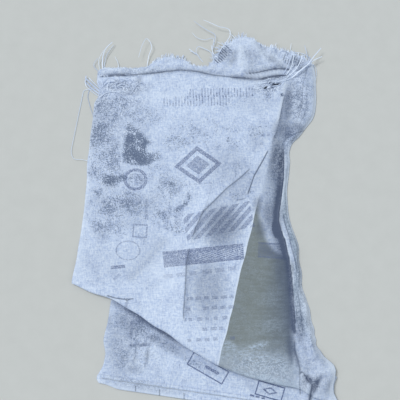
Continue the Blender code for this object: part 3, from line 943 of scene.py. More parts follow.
# painted shadow under the pleat's edge, painted shade just behind the front's edge at the mouth and painted
# shadow under the rips, all joined with the painted shade of the tables
past_mouth = past_line(points, front_mouth)
under_pleat = np.where(is_upper, 0, smooth(1 + past_line(points, pleat_edge) / pleat_shadow))
under_pleat *= mix(*pleat_shades, spot_share(pixel_across, pixel_down, *deepest_pleat))
behind_mouth = np.where(is_upper & on_back, smooth(1 - abs(past_mouth) / mouth_shadow), 0)
below_rips = on_back * smooth((-past_mouth - mouth_shadow) / mouth_shadow)
below_rips = below_rips * spot_share(pixel_across, pixel_down, *rips_spot)
shade = np.max([
    densest(shades), under_pleat, mouth_shade * behind_mouth, strongest(one_sided_shades, line_fade),
    rips_shade * below_rips,
], 0)
lit = strongest(lit_edges, lit_fade)
weave_place = points.copy()
weave_place[is_upper, :2] = np.column_stack(rotated(points[:, 0], points[:, 1], -weave_angle))[is_upper]
column_place = np.zeros((row_count, ring_count))
column_place[:, :front_count] = front_columns[0] + front_columns[1]
# the stain fact holds soil, dust and painted shade, the sack fact the column and the painted highlight, and
# the  dirt fact grime with painted shadow and the crease lines of painted shade
facts = {
    "stain_and_shade_place": np.column_stack([soil, densest(dust_spots), shade]),
    "photo_place": np.column_stack([point_pixels, densest(ruffled_spots)]),
    "weave_place": weave_place,
    "sack_place": np.column_stack([column_place.ravel(), lit, np.zeros(len(points))]),
    "dirt_and_shade_place": np.column_stack([grime_and_shade, *crease_shade_lines(pixel_across, pixel_down)]),
}
print("facts of each point:", ", ".join(facts))

# %% The sack as an object


def new_object(name, vertices, faces, facts=(), soft=True):
    """A new mesh object, with three numbers a point for each named fact."""
    mesh = bpy.data.meshes.new(name)
    mesh.from_pydata(np.asarray(vertices).tolist(), [], np.asarray(faces).tolist())
    for fact in facts:
        values = np.ascontiguousarray(facts[fact], np.float32).ravel()
        mesh.attributes.new(fact, "FLOAT_VECTOR", "POINT").data.foreach_set("vector", values)
    mesh.polygons.foreach_set("use_smooth", np.full(len(mesh.polygons), soft))
    shape = bmesh.new()
    shape.from_mesh(mesh)
    bmesh.ops.recalc_face_normals(shape, faces=shape.faces)
    shape.to_mesh(mesh)
    shape.free()
    made = bpy.data.objects.new(name, mesh)
    bpy.context.scene.collection.objects.link(made)
    return made


sack = new_object("sack_cloth", points, quads[whole], facts)
skin = sack.modifiers.new("cloth thickness", "SOLIDIFY")
skin.thickness = cloth_thickness
skin.offset = 0
skin.material_offset = 1
skin.material_offset_rim = 1
# the finish of the outer face: 0 for the upper front, 2 for the lower front and the hem, 4 for the underside
slots = np.where(quad_on_front | (quad_kind == "hem"), 2, 4)
slots[quad_on_front & (quad_kind == "upper")] = 0
sack.data.polygons.foreach_set("material_index", slots[whole].astype(np.int32))
print("cells:", len(sack.data.polygons))

# %% [markdown]
# ## Loose tapes
#
# Where the sack is torn, the tapes of its weave hang out: a short fringe all along the tear, and a few long
# ones that curl over the ground. Blender's hair could make them, but hair is round, and it doesn't go into
# an exported model. So each tape is a thin flat strip of its own. It is laid on whatever lies below it,
# which a ray cast down on the sack finds.

# %% Strips
tape_width = 2.9 * MM
tape_thickness = 0.3 * MM
tape_clearance = 0.5 * MM
tip_share = 0.5
lift_speed = 1.25
ray_height = 0.2
most_reach = np.array([24 * MM, 31 * MM])
spine_step = 4 * MM
below = BVHTree.FromPolygons(points.tolist(), quads.tolist())


def laid(spine, lift):
    """Lays a row of points on what is below them, smoothed, and lifts the middle and the end."""
    hits = [below.ray_cast(Vector((x, y, ray_height)), Vector((0, 0, -1)))[0] for x, y in spine[:, :2]]
    heights = np.array([hit.z + cloth_thickness / 2 if hit else 0.0 for hit in hits])
    padded = np.pad(heights, 2, mode="edge")
    high = np.max([padded[i : i + len(heights)] for i in range(5)], 0)
    soft = np.convolve(np.pad(high, 2, mode="edge"), np.ones(5) / 5, "valid")
    rise = lift * np.sin(np.minimum(np.linspace(0, 1, len(spine)) * lift_speed, 1) * math.pi / 2)
    return np.column_stack([spine[:, :2], np.maximum(soft, heights) + tape_clearance + rise])


def directions(ahead):
    """The unit directions beside and above a row of points that runs ahead."""
    ahead = ahead / np.linalg.norm(ahead, axis=1)[:, None]
    side = np.cross(ahead, [0, 0, 1.0])
    side /= np.maximum(np.linalg.norm(side, axis=1), 1e-9)[:, None]
    return side, np.cross(side, ahead)


def skin_faces(count, sides, closed=False):
    """Faces between rings of points, with an end cap at both ends unless the row of rings is closed."""
    faces = []
    for i in range(count if closed else count - 1):
        here, there = i * sides, (i + 1) % count * sides
        for k in range(sides):
            after = (k + 1) % sides
            faces.append([there + k, there + after, here + after, here + k])
    last = count * sides - 1
    return faces if closed else faces + [list(range(sides)), list(range(last, last - sides, -1))]


def strip(spine, width, twist):
    """The points and faces of a thin closed strip along a row of points."""
    side, up = directions(np.gradient(spine, axis=0))
    share = np.linspace(0, 1, len(spine))[:, None]
    angle = twist * np.sin(share * math.pi)
    half = (side * np.cos(angle) + up * np.sin(angle)) * width / 2 * mix(1, tip_share, share**3)
    thick = (up * np.cos(angle) - side * np.sin(angle)) * tape_thickness / 2
    corners = [spine + across * half + over * thick for across, over in ((-1, -1), (1, -1), (1, 1), (-1, 1))]
    return np.stack(corners, 1).reshape(-1, 3), skin_faces(len(spine), len(corners))


def through(places):
    """A smooth row of points through a few places, a small step apart."""
    places = np.array(places, float)
    reach = reach_along(places)
    at = np.linspace(0, reach[-1], max(5, int(reach[-1] / spine_step) + 1))
    return np.stack([along(list(zip(reach, values)), at) for values in places.T], -1)


def inside_limit(spine):
    """Keeps a row of points inside what a piece may reach past the CAD box."""
    low, high = np.array(cad_low)[:2] - most_reach, np.array(cad_high)[:2] + most_reach
    spine[:, :2] = np.clip(spine[:, :2], low, high)
    return spine


print("a strip may reach past the CAD box by, mm:", np.round(most_reach / MM))

# %% Long loose tapes, drawn in pixels
# pixels along it, width in tapes, lift in mm
long_tapes = (
    (((101, 93), (93, 86), (86, 79.5), (80, 76)), 1.4, 5),
    (((100, 95), (92, 89), (85, 82.5), (79, 79)), 1.2, 3), (((101, 90), (94, 84), (89, 79)), 0.7, 8),
    (((98, 96), (92, 92), (86.5, 87), (85.5, 82)), 0.6, 6),
    (((95, 89), (84, 91), (79.5, 108), (75.5, 130), (72.5, 145), (71.5, 153), (74, 159), (82, 160),
      (88, 161.5)), 0.55, 2), (((91, 86), (88, 96), (89.5, 104), (93.5, 117)), 0.5, 1),
    (((103, 70), (103, 60), (106, 51), (113, 44)), 0.9, 9), (((104, 68), (107, 56), (114, 46)), 0.5, 5),
    (((99, 72), (94, 66), (98, 59)), 0.5, 4), (((100, 70), (99, 62), (104, 52)), 0.45, 7),
    (((119, 70), (118, 63), (115, 57)), 0.45, 2),
    (((147, 68), (149, 57), (152, 48), (147, 41), (143, 47), (139, 60)), 0.55, 12),
    (((214, 64), (212.5, 49), (215, 37), (207, 32), (199, 27), (194, 23)), 0.55, 9),
    (((219, 54), (224, 46), (230, 37), (229, 32), (218, 29), (209, 25), (203, 22.5)), 0.6, 12),
    (((214, 45), (213, 39), (204, 41), (197, 39), (192, 34)), 0.45, 6),
    (((203, 62), (200, 59), (197, 55), (190, 52)), 0.6, 4), (((197, 55), (193, 53), (189, 50)), 0.9, 5),
    (((213, 57), (211, 53), (205, 50), (198, 48), (196, 53), (199, 58)), 0.6, 6),
    (((228, 47), (222, 46), (217, 43)), 0.4, 6), (((236, 42), (233, 38), (229, 34)), 0.5, 5),
    (((218, 60), (214, 56), (211, 46)), 0.6, 5), (((222, 54), (218, 50), (213, 48)), 0.6, 5),
    (((289, 78), (297, 69), (302, 58)), 0.8, 10), (((291, 80), (304, 70), (313, 63), (321, 59)), 1.0, 12),
    (((293, 76), (306, 68), (314, 58), (320, 51)), 1.0, 14), (((309, 62), (306, 54), (304, 47)), 0.6, 8),
    (((310, 58), (302, 54), (291, 53)), 0.6, 3), (((286, 76), (291, 68), (293, 57)), 0.6, 8),
    (((283, 75), (288, 66), (290, 58)), 0.5, 6), (((313, 64), (316, 70), (315, 82)), 0.5, 2),
    (((274, 50), (276, 44)), 0.5, 5), (((290, 52), (291, 44)), 0.4, 4),
    (((290, 77), (278, 79), (262, 84)), 0.55, 1), (((289, 78), (277, 83), (264, 90)), 0.5, 1),
    (((288, 79), (280, 86), (272, 93)), 0.5, 1), (((287, 79), (283, 86), (278, 92)), 0.45, 1),
    (((256, 87), (268, 85), (282, 84), (292, 80)), 0.6, 1), (((258, 91), (266, 88), (270, 82)), 0.5, 1),
    (((262, 93), (271, 90), (279, 88)), 0.5, 1), (((121, 96), (116, 86), (125, 82), (136, 84)), 0.5, 1),
    (((101, 89), (109, 83), (118, 85), (122, 92)), 0.5, 1),
    (((131, 96), (137, 88), (143, 85), (147, 90)), 0.5, 1),
    (((104, 90), (103, 84), (108, 79), (114, 80)), 0.5, 2),
    (((108, 92), (108, 86), (112, 82), (118, 85)), 0.45, 2),
    (((121, 80), (127, 83), (131, 88), (132, 93)), 0.5, 2),
    (((126, 79), (132, 82), (136, 87), (137, 92)), 0.5, 2),
    (((117, 88), (122, 86), (127, 88), (128, 93)), 0.45, 2),
    (((100, 98), (106, 94), (114, 93), (124, 96)), 0.45, 1),
)
long_tape_twist = 0.5
strips = []
for pixels, width, lift in long_tapes:
    spine = inside_limit(through([place_of(pixel)[:2] for pixel in pixels]))
    strips.append(strip(laid(spine, lift * MM), width * tape_width, long_tape_twist))
print("long tapes:", len(strips))

# %% Fringe of short tapes along the tear
# pixel columns from and to, shortest and longest in mm
back_fringe = (
    (90, 150, 0.5, 3), (150, 158, 2, 7), (158, 188, 4, 11), (188, 213, 1, 6), (213, 246, 3, 14),
    (246, 262, 1, 6), (262, 300, 2, 8), (300, 318, 4, 15),
)
front_fringe = ((90, 100, 1, 5), (100, 142, 0.3, 2), (142, 268, 0, 0), (268, 300, 0.3, 1.6), (300, 320, 1, 6))
elsewhere = (0.5, 2)
run_either_way = 6 * MM
fringe_root = 2 * MM
fringe_clearance = 0.1 * MM
weave_axes = np.array([rotated(1, 0, weave_angle), rotated(0, 1, weave_angle)])


def fringe(edge, table, seed, pitch):
    """Short tapes that stick out of a torn edge, each along the weave."""
    rng = np.random.default_rng(seed)
    made = []
    reach = reach_along(edge[:, :2])
    for at in np.arange(pitch, reach[-1] - pitch, pitch):
        at = at + rng.uniform(-0.3, 0.3) * pitch
        before, start, beyond = (
            np.array([np.interp(at + step, reach, values) for values in edge.T])
            for step in (-run_either_way, 0, run_either_way)
        )
        run = (beyond - before)[:2]
        dots = weave_axes @ (np.array([-run[1], run[0]]) / np.linalg.norm(run))
        nearest = np.argmax(abs(dots))
        way = np.array(rotated(*weave_axes[nearest] * np.sign(dots[nearest]), rng.normal(0, 0.22)))
        pixel = pixels_of(start)[0]
        length = rng.uniform(*next((row[2:] for row in table if row[0] <= pixel < row[1]), elsewhere)) * MM
        if length == 0:
            continue
        bend, width = rng.normal(0, 0.25) * length, rng.uniform(0.35, 0.85) * tape_width
        rise = rng.uniform(-0.12, 0.3) * length
        share = np.linspace(-fringe_root / length, 1, 5)[:, None]
        out = np.maximum(share, 0)
        flat = start[:2] + way * share * length + np.array([-way[1], way[0]]) * bend * out**2
        height = np.maximum(start[2] + rise * out + fringe_clearance, tape_thickness)
        made.append(strip(inside_limit(np.hstack([flat, height])), width, rng.normal(0, 0.5)))
    return made


def joined_object(name, pieces, soft):
    """Many small pieces as one object, in which every point keeps the number of its piece."""
    counts = [len(vertices) for vertices, _ in pieces]
    starts = np.cumsum([0, *counts])
    faces = np.concatenate([np.array(own) + start for start, (_, own) in zip(starts, pieces)])
    numbers = np.zeros((starts[-1], 3))
    numbers[:, 0] = np.repeat(np.arange(len(pieces)), counts)
    vertices = np.concatenate([vertices for vertices, _ in pieces])
    return new_object(name, vertices, faces, {"piece_place": numbers}, soft)


strips += fringe(back_grid[-1], back_fringe, 41, 2.3 * MM)
strips += fringe(front_grid[-1], front_fringe, 42, 2.6 * MM)
tapes = joined_object("loose_tapes", strips, False)
print("strips:", len(strips), "faces:", len(tapes.data.polygons))

# %% [markdown]
# ## The seam
#
# A cement sack is closed by chain stitch: each loop of thread passes through the one before. Seen from
# above it is a row of long drops. A dashed line of paint would do from afar, but real thread stands up from
# the hem and catches the light. So every loop is a closed tube, bent into a drop.

# %% Chain stitches
stitch_length = 9 * MM
stitch_overlap = 2 * MM
stitch_half_width = 1.1 * MM
stitch_shapes = (0.55, 0.45)
stitch_sway, sway_turns = 0.25 * MM, 1.7
stitch_dip = 0.25 * MM
thread_radius = 0.35 * MM
loop_points = 14
thread_sides = 5


def thread_loop(start, number):
    """One drop-shaped loop of thread, lying along X."""
    t = np.linspace(0, 2 * math.pi, loop_points, endpoint=False)
    share = (1 - np.cos(t)) / 2
    x = start + (stitch_length + stitch_overlap) * share
    sway = stitch_sway * math.sin(number * sway_turns)
    y = stitch_half_width * np.sin(t) * (stitch_shapes[0] + stitch_shapes[1] * share) + sway
    z = thread_high.z - thread_radius - stitch_dip * (1 - share)
    spine = np.column_stack([x, (thread_low.y + thread_high.y) / 2 + y, z])
    side, up = directions(np.roll(spine, -1, 0) - np.roll(spine, 1, 0))
    angles = np.linspace(0, 2 * math.pi, thread_sides, endpoint=False)
    rings = np.stack([spine + thread_radius * (side * math.cos(a) + up * math.sin(a)) for a in angles], 1)
    return pulled(rings.reshape(-1, 3)), skin_faces(loop_points, thread_sides, closed=True)


stitch_starts = np.arange(thread_low.x, thread_high.x - stitch_length, stitch_length)
stitches = joined_object("seam_stitches", [thread_loop(x, i) for i, x in enumerate(stitch_starts)], True)
print("stitches:", len(stitch_starts))

# %% [markdown]
# ## Shader maths as plain expressions
#
# A finish is a formula. Adding and linking each of its nodes by hand would take a few lines for every sign.
# Here `Wire` stands for one value between nodes, and Python's own signs add the Math nodes, so that
# `1 - mask` reads as it is meant. Everything else comes from `Finish.node`.

# %% Wire


def signs(operation):
    """A sign's two methods: with the wire on its left, and with the wire on its right."""
    return (
        lambda self, other: self.math(operation, self, other),
        lambda self, other: self.math(operation, other, self),
    )


class Wire:
    """One value that flows from a shader node."""

    __add__, __radd__ = signs("ADD")
    __sub__, __rsub__ = signs("SUBTRACT")
    __mul__, __rmul__ = signs("MULTIPLY")
    __truediv__, __rtruediv__ = signs("DIVIDE")
    __gt__, __lt__ = signs("GREATER_THAN")

    def __init__(self, finish, node, output):
        self.finish, self.node, self.output = finish, node, output

    def math(self, operation, *values, clamp=False):
        settings = {"operation": operation, "use_clamp": clamp}
        return self.finish.node("ShaderNodeMath", settings, dict(enumerate(values)))

    def __abs__(self):
        return self.math("ABSOLUTE", self)

    def floor(self):
        return self.math("FLOOR", self)

    def fract(self):
        return self.math("FRACT", self)

    def most(self, other):
        return self.math("MAXIMUM", self, other)

    def clamped(self):
        return self.math("MULTIPLY", self, 1, clamp=True)

    def above(self, start, steepness):
        """0 up to start, then steeply up to 1. A negative steepness runs the other way."""
        return ((self - start) * steepness).clamped()

    def ramp(self, start, end):
        """0 before start, 1 after end, and soft between. It runs the other way if start is the larger."""
        low, high = min(start, end), max(start, end)
        up, down = (0, 1) if start < end else (1, 0)
        values = {0: self, 1: low, 2: high, 3: up, 4: down}
        return self.finish.node("ShaderNodeMapRange", {"interpolation_type": "SMOOTHSTEP"}, values)

    def parts(self):
        separate = self.finish.node("ShaderNodeSeparateXYZ", {}, {0: self}).node
        return [Wire(self.finish, separate, output) for output in range(3)]

    def length(self):
        return self.finish.node("ShaderNodeVectorMath", {"operation": "LENGTH"}, {0: self}, 1)


print("signs that a wire knows: + - * / > <")

# %% Finish


class Finish:
    """One material, and the one place where its nodes are made."""

    def __init__(self, name):
        self.material = bpy.data.materials.new(name)
        self.material.use_nodes = True
        self.tree = self.material.node_tree
        self.shader = self.tree.nodes["Principled BSDF"]

    def node(self, kind, settings, values, output=0):
        """Adds a node: its settings are set first, then its sockets take numbers or wires."""
        made = self.tree.nodes.new(kind)
        for name, value in settings.items():
            setattr(made, name, value)
        for socket, value in values.items():
            self.feed(made.inputs[socket], value)
        return Wire(self, made, output)

    def feed(self, socket, value):
        if isinstance(value, Wire):
            self.tree.links.new(value.node.outputs[value.output], socket)
        else:
            socket.default_value = value

    def fact(self, name):
        return self.node("ShaderNodeAttribute", {"attribute_name": name}, {}, "Vector")

    def object_place(self):
        return self.node("ShaderNodeTexCoord", {}, {}, "Object")

    def noise(self, place, scale, detail=2.0, roughness=0.55, distortion=0.0, stretch=None):
        if stretch is not None:
            place = self.node("ShaderNodeVectorMath", {"operation": "MULTIPLY"}, {0: place, 1: stretch})
        values = {"Vector": place, "Scale": scale, "Detail": detail, "Roughness": roughness}
        return self.node("ShaderNodeTexNoise", {}, {**values, "Distortion": distortion})

    def random(self, place):
        return self.node("ShaderNodeTexWhiteNoise", {"noise_dimensions": "3D"}, {"Vector": place}, "Value")

    def join(self, x, y, z=0.0):
        return self.node("ShaderNodeCombineXYZ", {}, {0: x, 1: y, 2: z})

    def local(self, place, centre, half_size, degrees=0.0):
        """Places seen from a spot: 0 at its centre and 1 at its edge."""
        turn = (0, 0, math.radians(degrees))
        values = {"Vector": place, "Location": (*centre, 0), "Rotation": turn, "Scale": (*half_size, 1)}
        return self.node("ShaderNodeMapping", {"vector_type": "TEXTURE"}, values)

    def colour(self, share, first, second):
        """A blend of two colours."""
        return self.node("ShaderNodeMix", {"data_type": "RGBA"}, {0: share, 6: first, 7: second}, 2)

    def paint(self, share, colour):
        """Lays a colour over what is painted so far."""
        self.base = self.colour(share, self.base, colour)

    def bump(self, height, distance, strength, under=None):
        values = {"Height": height, "Distance": distance, "Strength": strength}
        return self.node("ShaderNodeBump", {}, values if under is None else {**values, "Normal": under})

    def set(self, **values):
        for name, value in values.items():
            self.feed(self.shader.inputs[name.replace("_", " ")], value)
        return self.material


def tone(red, green, blue):
    """A colour from 8-bit screen values."""
    shares = [value / 255 for value in (red, green, blue)]
    return (*[s / 12.92 if s <= 0.04045 else ((s + 0.055) / 1.055) ** 2.4 for s in shares], 1)


print("a mid grey in the shader:", [round(v, 3) for v in tone(128, 128, 128)])

# %% [markdown]
# ## The weave
#
# The cloth is made of flat tapes about two and a half millimetres wide, over one and under one. Modelled
# tapes would need about a million faces, and in the render a tape is about one pixel. So the weave is a
# formula for height and tone, and works mostly as a fine grain. Its tone varies from tape to tape, because
# each was stretched and bleached on its own.

# %% Weave as height and tone
weave_pitch = 2.6 * MM
# how often each noise of the tapes' tone changes, per metre along X, Y and Z
tape_stretches = ((380, 70, 1), (70, 380, 1), (230, 160, 1))


def weave_pattern(finish, place):
    """The weave's height from 0 to 1, and how light each tape is, around 0."""
    x, y, _ = place.parts()
    across, up = x / weave_pitch, y / weave_pitch
    over = ((across.floor() + up.floor()) * 0.5).fract() * 2
    warp = (1 - abs(across.fract() * 2 - 1)).ramp(0, 0.5) * (0.6 + 0.4 * over)
    weft = (1 - abs(up.fract() * 2 - 1)).ramp(0, 0.5) * (1 - 0.4 * over)
    tones = [finish.noise(place, 1.0, 2.0, 0.6, stretch=stretch) for stretch in tape_stretches]
    return warp.most(weft), tones[0] + tones[1] + tones[2] - 1.5


print("tapes across the sack:", round(sack_width / weave_pitch))

# %% [markdown]
# ## Print shapes
#
# The print is faded, and worn off where the cloth was rubbed. It is made of boxes, rings, diamonds, stripes
# and rows of small bars. A picture of it would be quicker to make, but a formula needs no file and stays
# sharp. Each shape is drawn in photograph pixels, which the cloth carries with it.

# %% Print shapes


class Print:
    """The marks of one print, added up, each with its strength."""

    def __init__(self, finish, place):
        self.finish = finish
        self.place = place
        self.total = None

    def add(self, mark, strength):
        mark = mark * strength
        self.total = mark if self.total is None else self.total + mark

    def local(self, centre, half_size, degrees):
        x, y, _ = self.finish.local(self.place, centre, half_size, degrees).parts()
        return x, y, (abs(x) < 1) * (abs(y) < 1)

    def block(self, strength, centre, half_size, degrees=0.0):
        self.add(self.local(centre, half_size, degrees)[2], strength)

    def frame(self, strength, centre, half_size, line, degrees=0.0):
        """The outline of a box."""
        x, y, inside = self.local(centre, half_size, degrees)
        edge = (abs(x) > 1 - line / half_size[0]).most(abs(y) > 1 - line / half_size[1])
        self.add(inside * edge, strength)

    def ring(self, strength, centre, half_size, line):
        gap = self.finish.local(self.place, centre, half_size).length()
        self.add((gap < 1) * (gap > 1 - line), strength)

    def diamond(self, strength, centre, half_size, degrees=0.0, hollow=0.0):
        x, y, _ = self.local(centre, half_size, degrees)
        gap = abs(x) + abs(y)
        self.add((gap < 1) * (gap > hollow), strength)

    def stripes(self, strength, centre, half_size, count, degrees=0.0, slant=0.0, share=0.5):
        x, y, inside = self.local(centre, half_size, degrees)
        self.add(inside * (((x + y * slant) * (count / 2)).fract() < share), strength)

    def ribs(self, strength, centre, half_size, count, degrees=0.0):
        """Even ribs that were printed, or have worn, unevenly."""
        x, y, inside = self.local(centre, half_size, degrees)
        uneven = self.finish.noise(self.finish.join(x * (count / 3), y), 1.0, 2.0, 0.5)
        bars = (x * (count / 2)).fract() < 0.45
        self.add(inside * bars * uneven.above(0.4, 6), strength)

    def small_bars(self, strength, centre, half_size, lines, size, degrees=0.0):
        """Rows of plain short bars with gaps."""
        x, y, inside = self.local(centre, half_size, degrees)
        line, bar = (y + 1) * (lines / 2), (x + 1) * (half_size[0] / size)
        shift = self.finish.random(self.finish.join(line.floor(), 5.0, 3.0))
        bar = bar + shift * 3
        length = self.finish.random(self.finish.join(bar.floor(), line.floor(), 7.0))
        ink = (length > 0.12) * (bar.fract() < 0.35 + 0.5 * length) * (line.fract() < 0.32)
        self.add(inside * ink, strength)


def upper_print(marks):
    """Faded print on the upper part."""
    marks.ring(1.2, (135.5, 179.5), (12, 11), 0.27)
    marks.block(0.55, (138.5, 180), (4.5, 6))
    marks.block(0.5, (129, 201), (12, 2), 3)
    marks.block(0.5, (146.5, 209), (1.7, 10), 1)
    marks.frame(0.8, (140, 231), (7.5, 7), 1.6, 4)
    marks.ring(0.7, (128, 250.5), (12.5, 10), 0.12)
    marks.block(1.1, (118, 267), (7, 1.6), -5)
    marks.block(0.4, (117, 277), (4.5, 1.4), -40)
    marks.block(0.5, (126, 306), (1.6, 4), 6)
    marks.diamond(1.15, (198, 165), (24, 19), -4, 0.74)
    marks.diamond(0.9, (198, 165), (12, 9.5), -4)
    marks.small_bars(0.45, (198, 144.5), (12, 2.6), 1, 5, -4)
    marks.small_bars(0.45, (198, 185.5), (16, 2.4), 1, 5, -4)
    marks.small_bars(0.5, (266, 142), (7.5, 8), 2, 6, -4)
    marks.stripes(0.85, (218.5, 221), (34.5, 13), 6, -12, 0.5, 0.62)
    marks.stripes(0.4, (175, 217), (13, 11), 2, -8, 0.3, 0.6)
    marks.block(1.2, (203.5, 255.5), (40.5, 8), -6)
    marks.block(0.5, (272, 250.5), (14, 7.5), 4)
    for y in (243.5, 257.5):
        marks.block(0.5, (271, y), (13, 0.9), 3)
    marks.stripes(-0.9, (222, 254), (24, 4.4), 5, -7, 0.9, 0.3)
    marks.ribs(0.95, (222, 92.5), (34, 4.5), 23, -1)
    marks.ribs(0.9, (196, 101), (34, 5), 23, -1)
    marks.small_bars(0.55, (199, 277), (40, 6.5), 1, 13, -7)
    marks.small_bars(0.7, (210, 322), (25, 26), 5, 8.5, -3)


def lower_print(marks):
    marks.frame(2.2, (208, 368), (20.5, 7.6), 1.3, 30)
    marks.block(1.4, (212, 370), (8, 1.5), 30)
    marks.frame(2.2, (270, 391), (14, 7.5), 1.3, 16)
    marks.diamond(1.6, (270, 391), (8, 4), 16, 0.6)
    marks.small_bars(1.6, (256, 398.5), (9, 3), 1, 6, 14)
    for x, degrees in ((131, 6), (147, 12)):
        marks.block(0.5, (x, 334), (1.6, 13), degrees)
    marks.block(0.5, (139, 322), (9, 1.7), -4)
    marks.block(0.5, (140, 345), (11, 1.6), -4)


print("print shapes: boxes, rings, diamonds, stripes and small bars")

# %% [markdown]
# ## The cloth's finish
#
# From the bottom up: clean cloth, grey blotches, soil in the hollow to the right of the long crease, faded
# ink, painted light and shade, fine wrinkles painted as lines of shade and highlight, specks of grime, and
# the lines of painted shade in the creases. One formula could mix them all at once, but layers that are
# painted over each other can be changed one at a time.

# %% Tones
white_cloth = tone(193, 207, 234)
# the brightest tapes, and also the colour of every painted highlight
bright_cloth = tone(233, 241, 254)
grey_cloth = tone(147, 162, 196)
# painted shade
shadow_blue = tone(72, 84, 110)
# specks of grime, which also fall in the painted shadow under the pleat and in the rips
grime_and_shade_tone = tone(84, 98, 124)
soil_tone = tone(124, 130, 126)
# soil with painted shade mixed in, towards the trough
shaded_soil_tone = tone(92, 102, 112)
dust_tone = tone(172, 186, 200)
powder_tone = tone(184, 198, 214)
ink_tone = tone(92, 105, 144)
strip_tone = tone(136, 150, 164)
# the lines of painted shade in the creases
crease_tone = tone(66, 78, 102)

# %% What all of the cloth shares
# how fine each noise is, per metre
fine_grain, speck_grain, wrinkle_grain, fold_grain = 620.0, 330.0, 135.0, 95.0
outer_blotch_grain, inner_blotch_grain = 40.0, 60.0
weave_depth = 0.25 * MM


class Cloth(Finish):
    """The weave, painted light and shade, and the creases' lines of painted shade, which every side of the
    cloth has.
    """

    def __init__(self, name, gap_share):
        super().__init__(name)
        self.place = self.fact("weave_place")
        self.pixel_x, self.pixel_y, self.ruffled = self.fact("photo_place").parts()
        self.density, self.crease_distance, self.crease_dark = self.fact("dirt_and_shade_place").parts()
        self.soil, self.dust, self.shaded = self.fact("stain_and_shade_place").parts()
        self.column, self.lit, _ = self.fact("sack_place").parts()
        self.height, tape_tone = weave_pattern(self, self.place)
        self.speck = self.noise(self.place, speck_grain, 3.0, 0.7)
        self.base = self.colour((0.5 + 1.8 * tape_tone).clamped(), white_cloth, bright_cloth)
        self.paint(self.height.ramp(0.6, 0.1) * gap_share, grey_cloth)

    # painted highlight along the edges that catch the light
    def catch_light(self):
        self.paint((self.lit * (0.5 + self.speck)).clamped(), bright_cloth)

    # bluish painted shade
    def fall_in_shade(self, share):
        self.paint((self.shaded * (0.35 + 1.1 * self.speck)).clamped() * share, shadow_blue)

    def wrinkle(self):
        """Paints lines of shade and highlight for the finest wrinkles, which are too small for the mesh, and
        gives their height.
        """
        swirl = self.noise(self.place, wrinkle_grain, 2.0, 0.5, 1.6)
        self.paint(self.ruffled * abs(swirl - 0.44).ramp(0.09, 0) * 0.75, shadow_blue)
        self.paint(self.ruffled * abs(swirl - 0.58).ramp(0.1, 0) * 0.9, bright_cloth)
        return self.ruffled * swirl

    def draw_creases(self, share):
        """Lines of painted shade in the creases, with edges made rough by the specks."""
        line = (abs(self.crease_distance) + 1.6 * (self.speck - 0.5)).ramp(1.1, 0.1)
        self.paint(line * self.crease_dark.ramp(faintest_shade_line, darkest_shade_line) * share, crease_tone)

    def done(self, folds, fold_depth, weave_strength, roughness):
        under = self.bump(folds, fold_depth, 0.6)
        bumped = self.bump(self.height, weave_depth, weave_strength, under)
        return self.set(Base_Color=self.base, Roughness=roughness, Normal=bumped, Specular_IOR_Level=0.35)


print("noises, per metre:", fine_grain, speck_grain, wrinkle_grain, fold_grain)

# %% Outside and inside of the cloth


def soil_hollow(cloth, mottled):
    """The upper part by the long crease: painted highlights on the lip and right side, soil, dust, the roll.
    """
    # across the front, 1 is the long crease, 2 the trough, 3 the crest of the roll, and 4 the right side
    column, pixel_y = cloth.column, cloth.pixel_y
    # a painted highlight along the lip of the long crease
    lip = column.ramp(0.985, 0.995) * (column < 1.001) * pixel_y.ramp(192, 200).most(pixel_y.ramp(132, 118))
    cloth.paint(lip * 0.6, bright_cloth)
    hollow = (column > 1.001) * (column - 0.45 * pixel_y.ramp(330, 350)).ramp(2.02, 1.97)
    streak = cloth.noise(cloth.place, 1.0, 3.0, 0.65, stretch=(40, 130, 1))
    # the soil darkens towards the trough, where its colour has painted shade mixed in
    deep = cloth.colour(column.ramp(1.3, 1.95), soil_tone, shaded_soil_tone)
    deep = cloth.colour(streak.above(0.42, 2.4) * 0.3, deep, dust_tone)
    cloth.paint(hollow * cloth.soil * (0.95 - 0.25 * mottled.above(0.5, 6)), deep)
    brushed = cloth.noise(cloth.place, 1.0, 3.0, 0.65, stretch=(90, 300, 1))
    cloth.paint(hollow * (cloth.dust * (5.0 * brushed + 3.0 * cloth.speck - 3.3)).clamped(), powder_tone)
    roll = (column > 2.02) * (0.25 + 0.62 * pixel_y.ramp(150, 200)) * (0.3 + 1.2 * cloth.speck).clamped()
    cloth.paint(roll * pixel_y.ramp(348, 320), strip_tone)
    # a painted highlight along the right side fold
    cloth.paint(column.ramp(3.4, 3.9) * 0.8, bright_cloth)


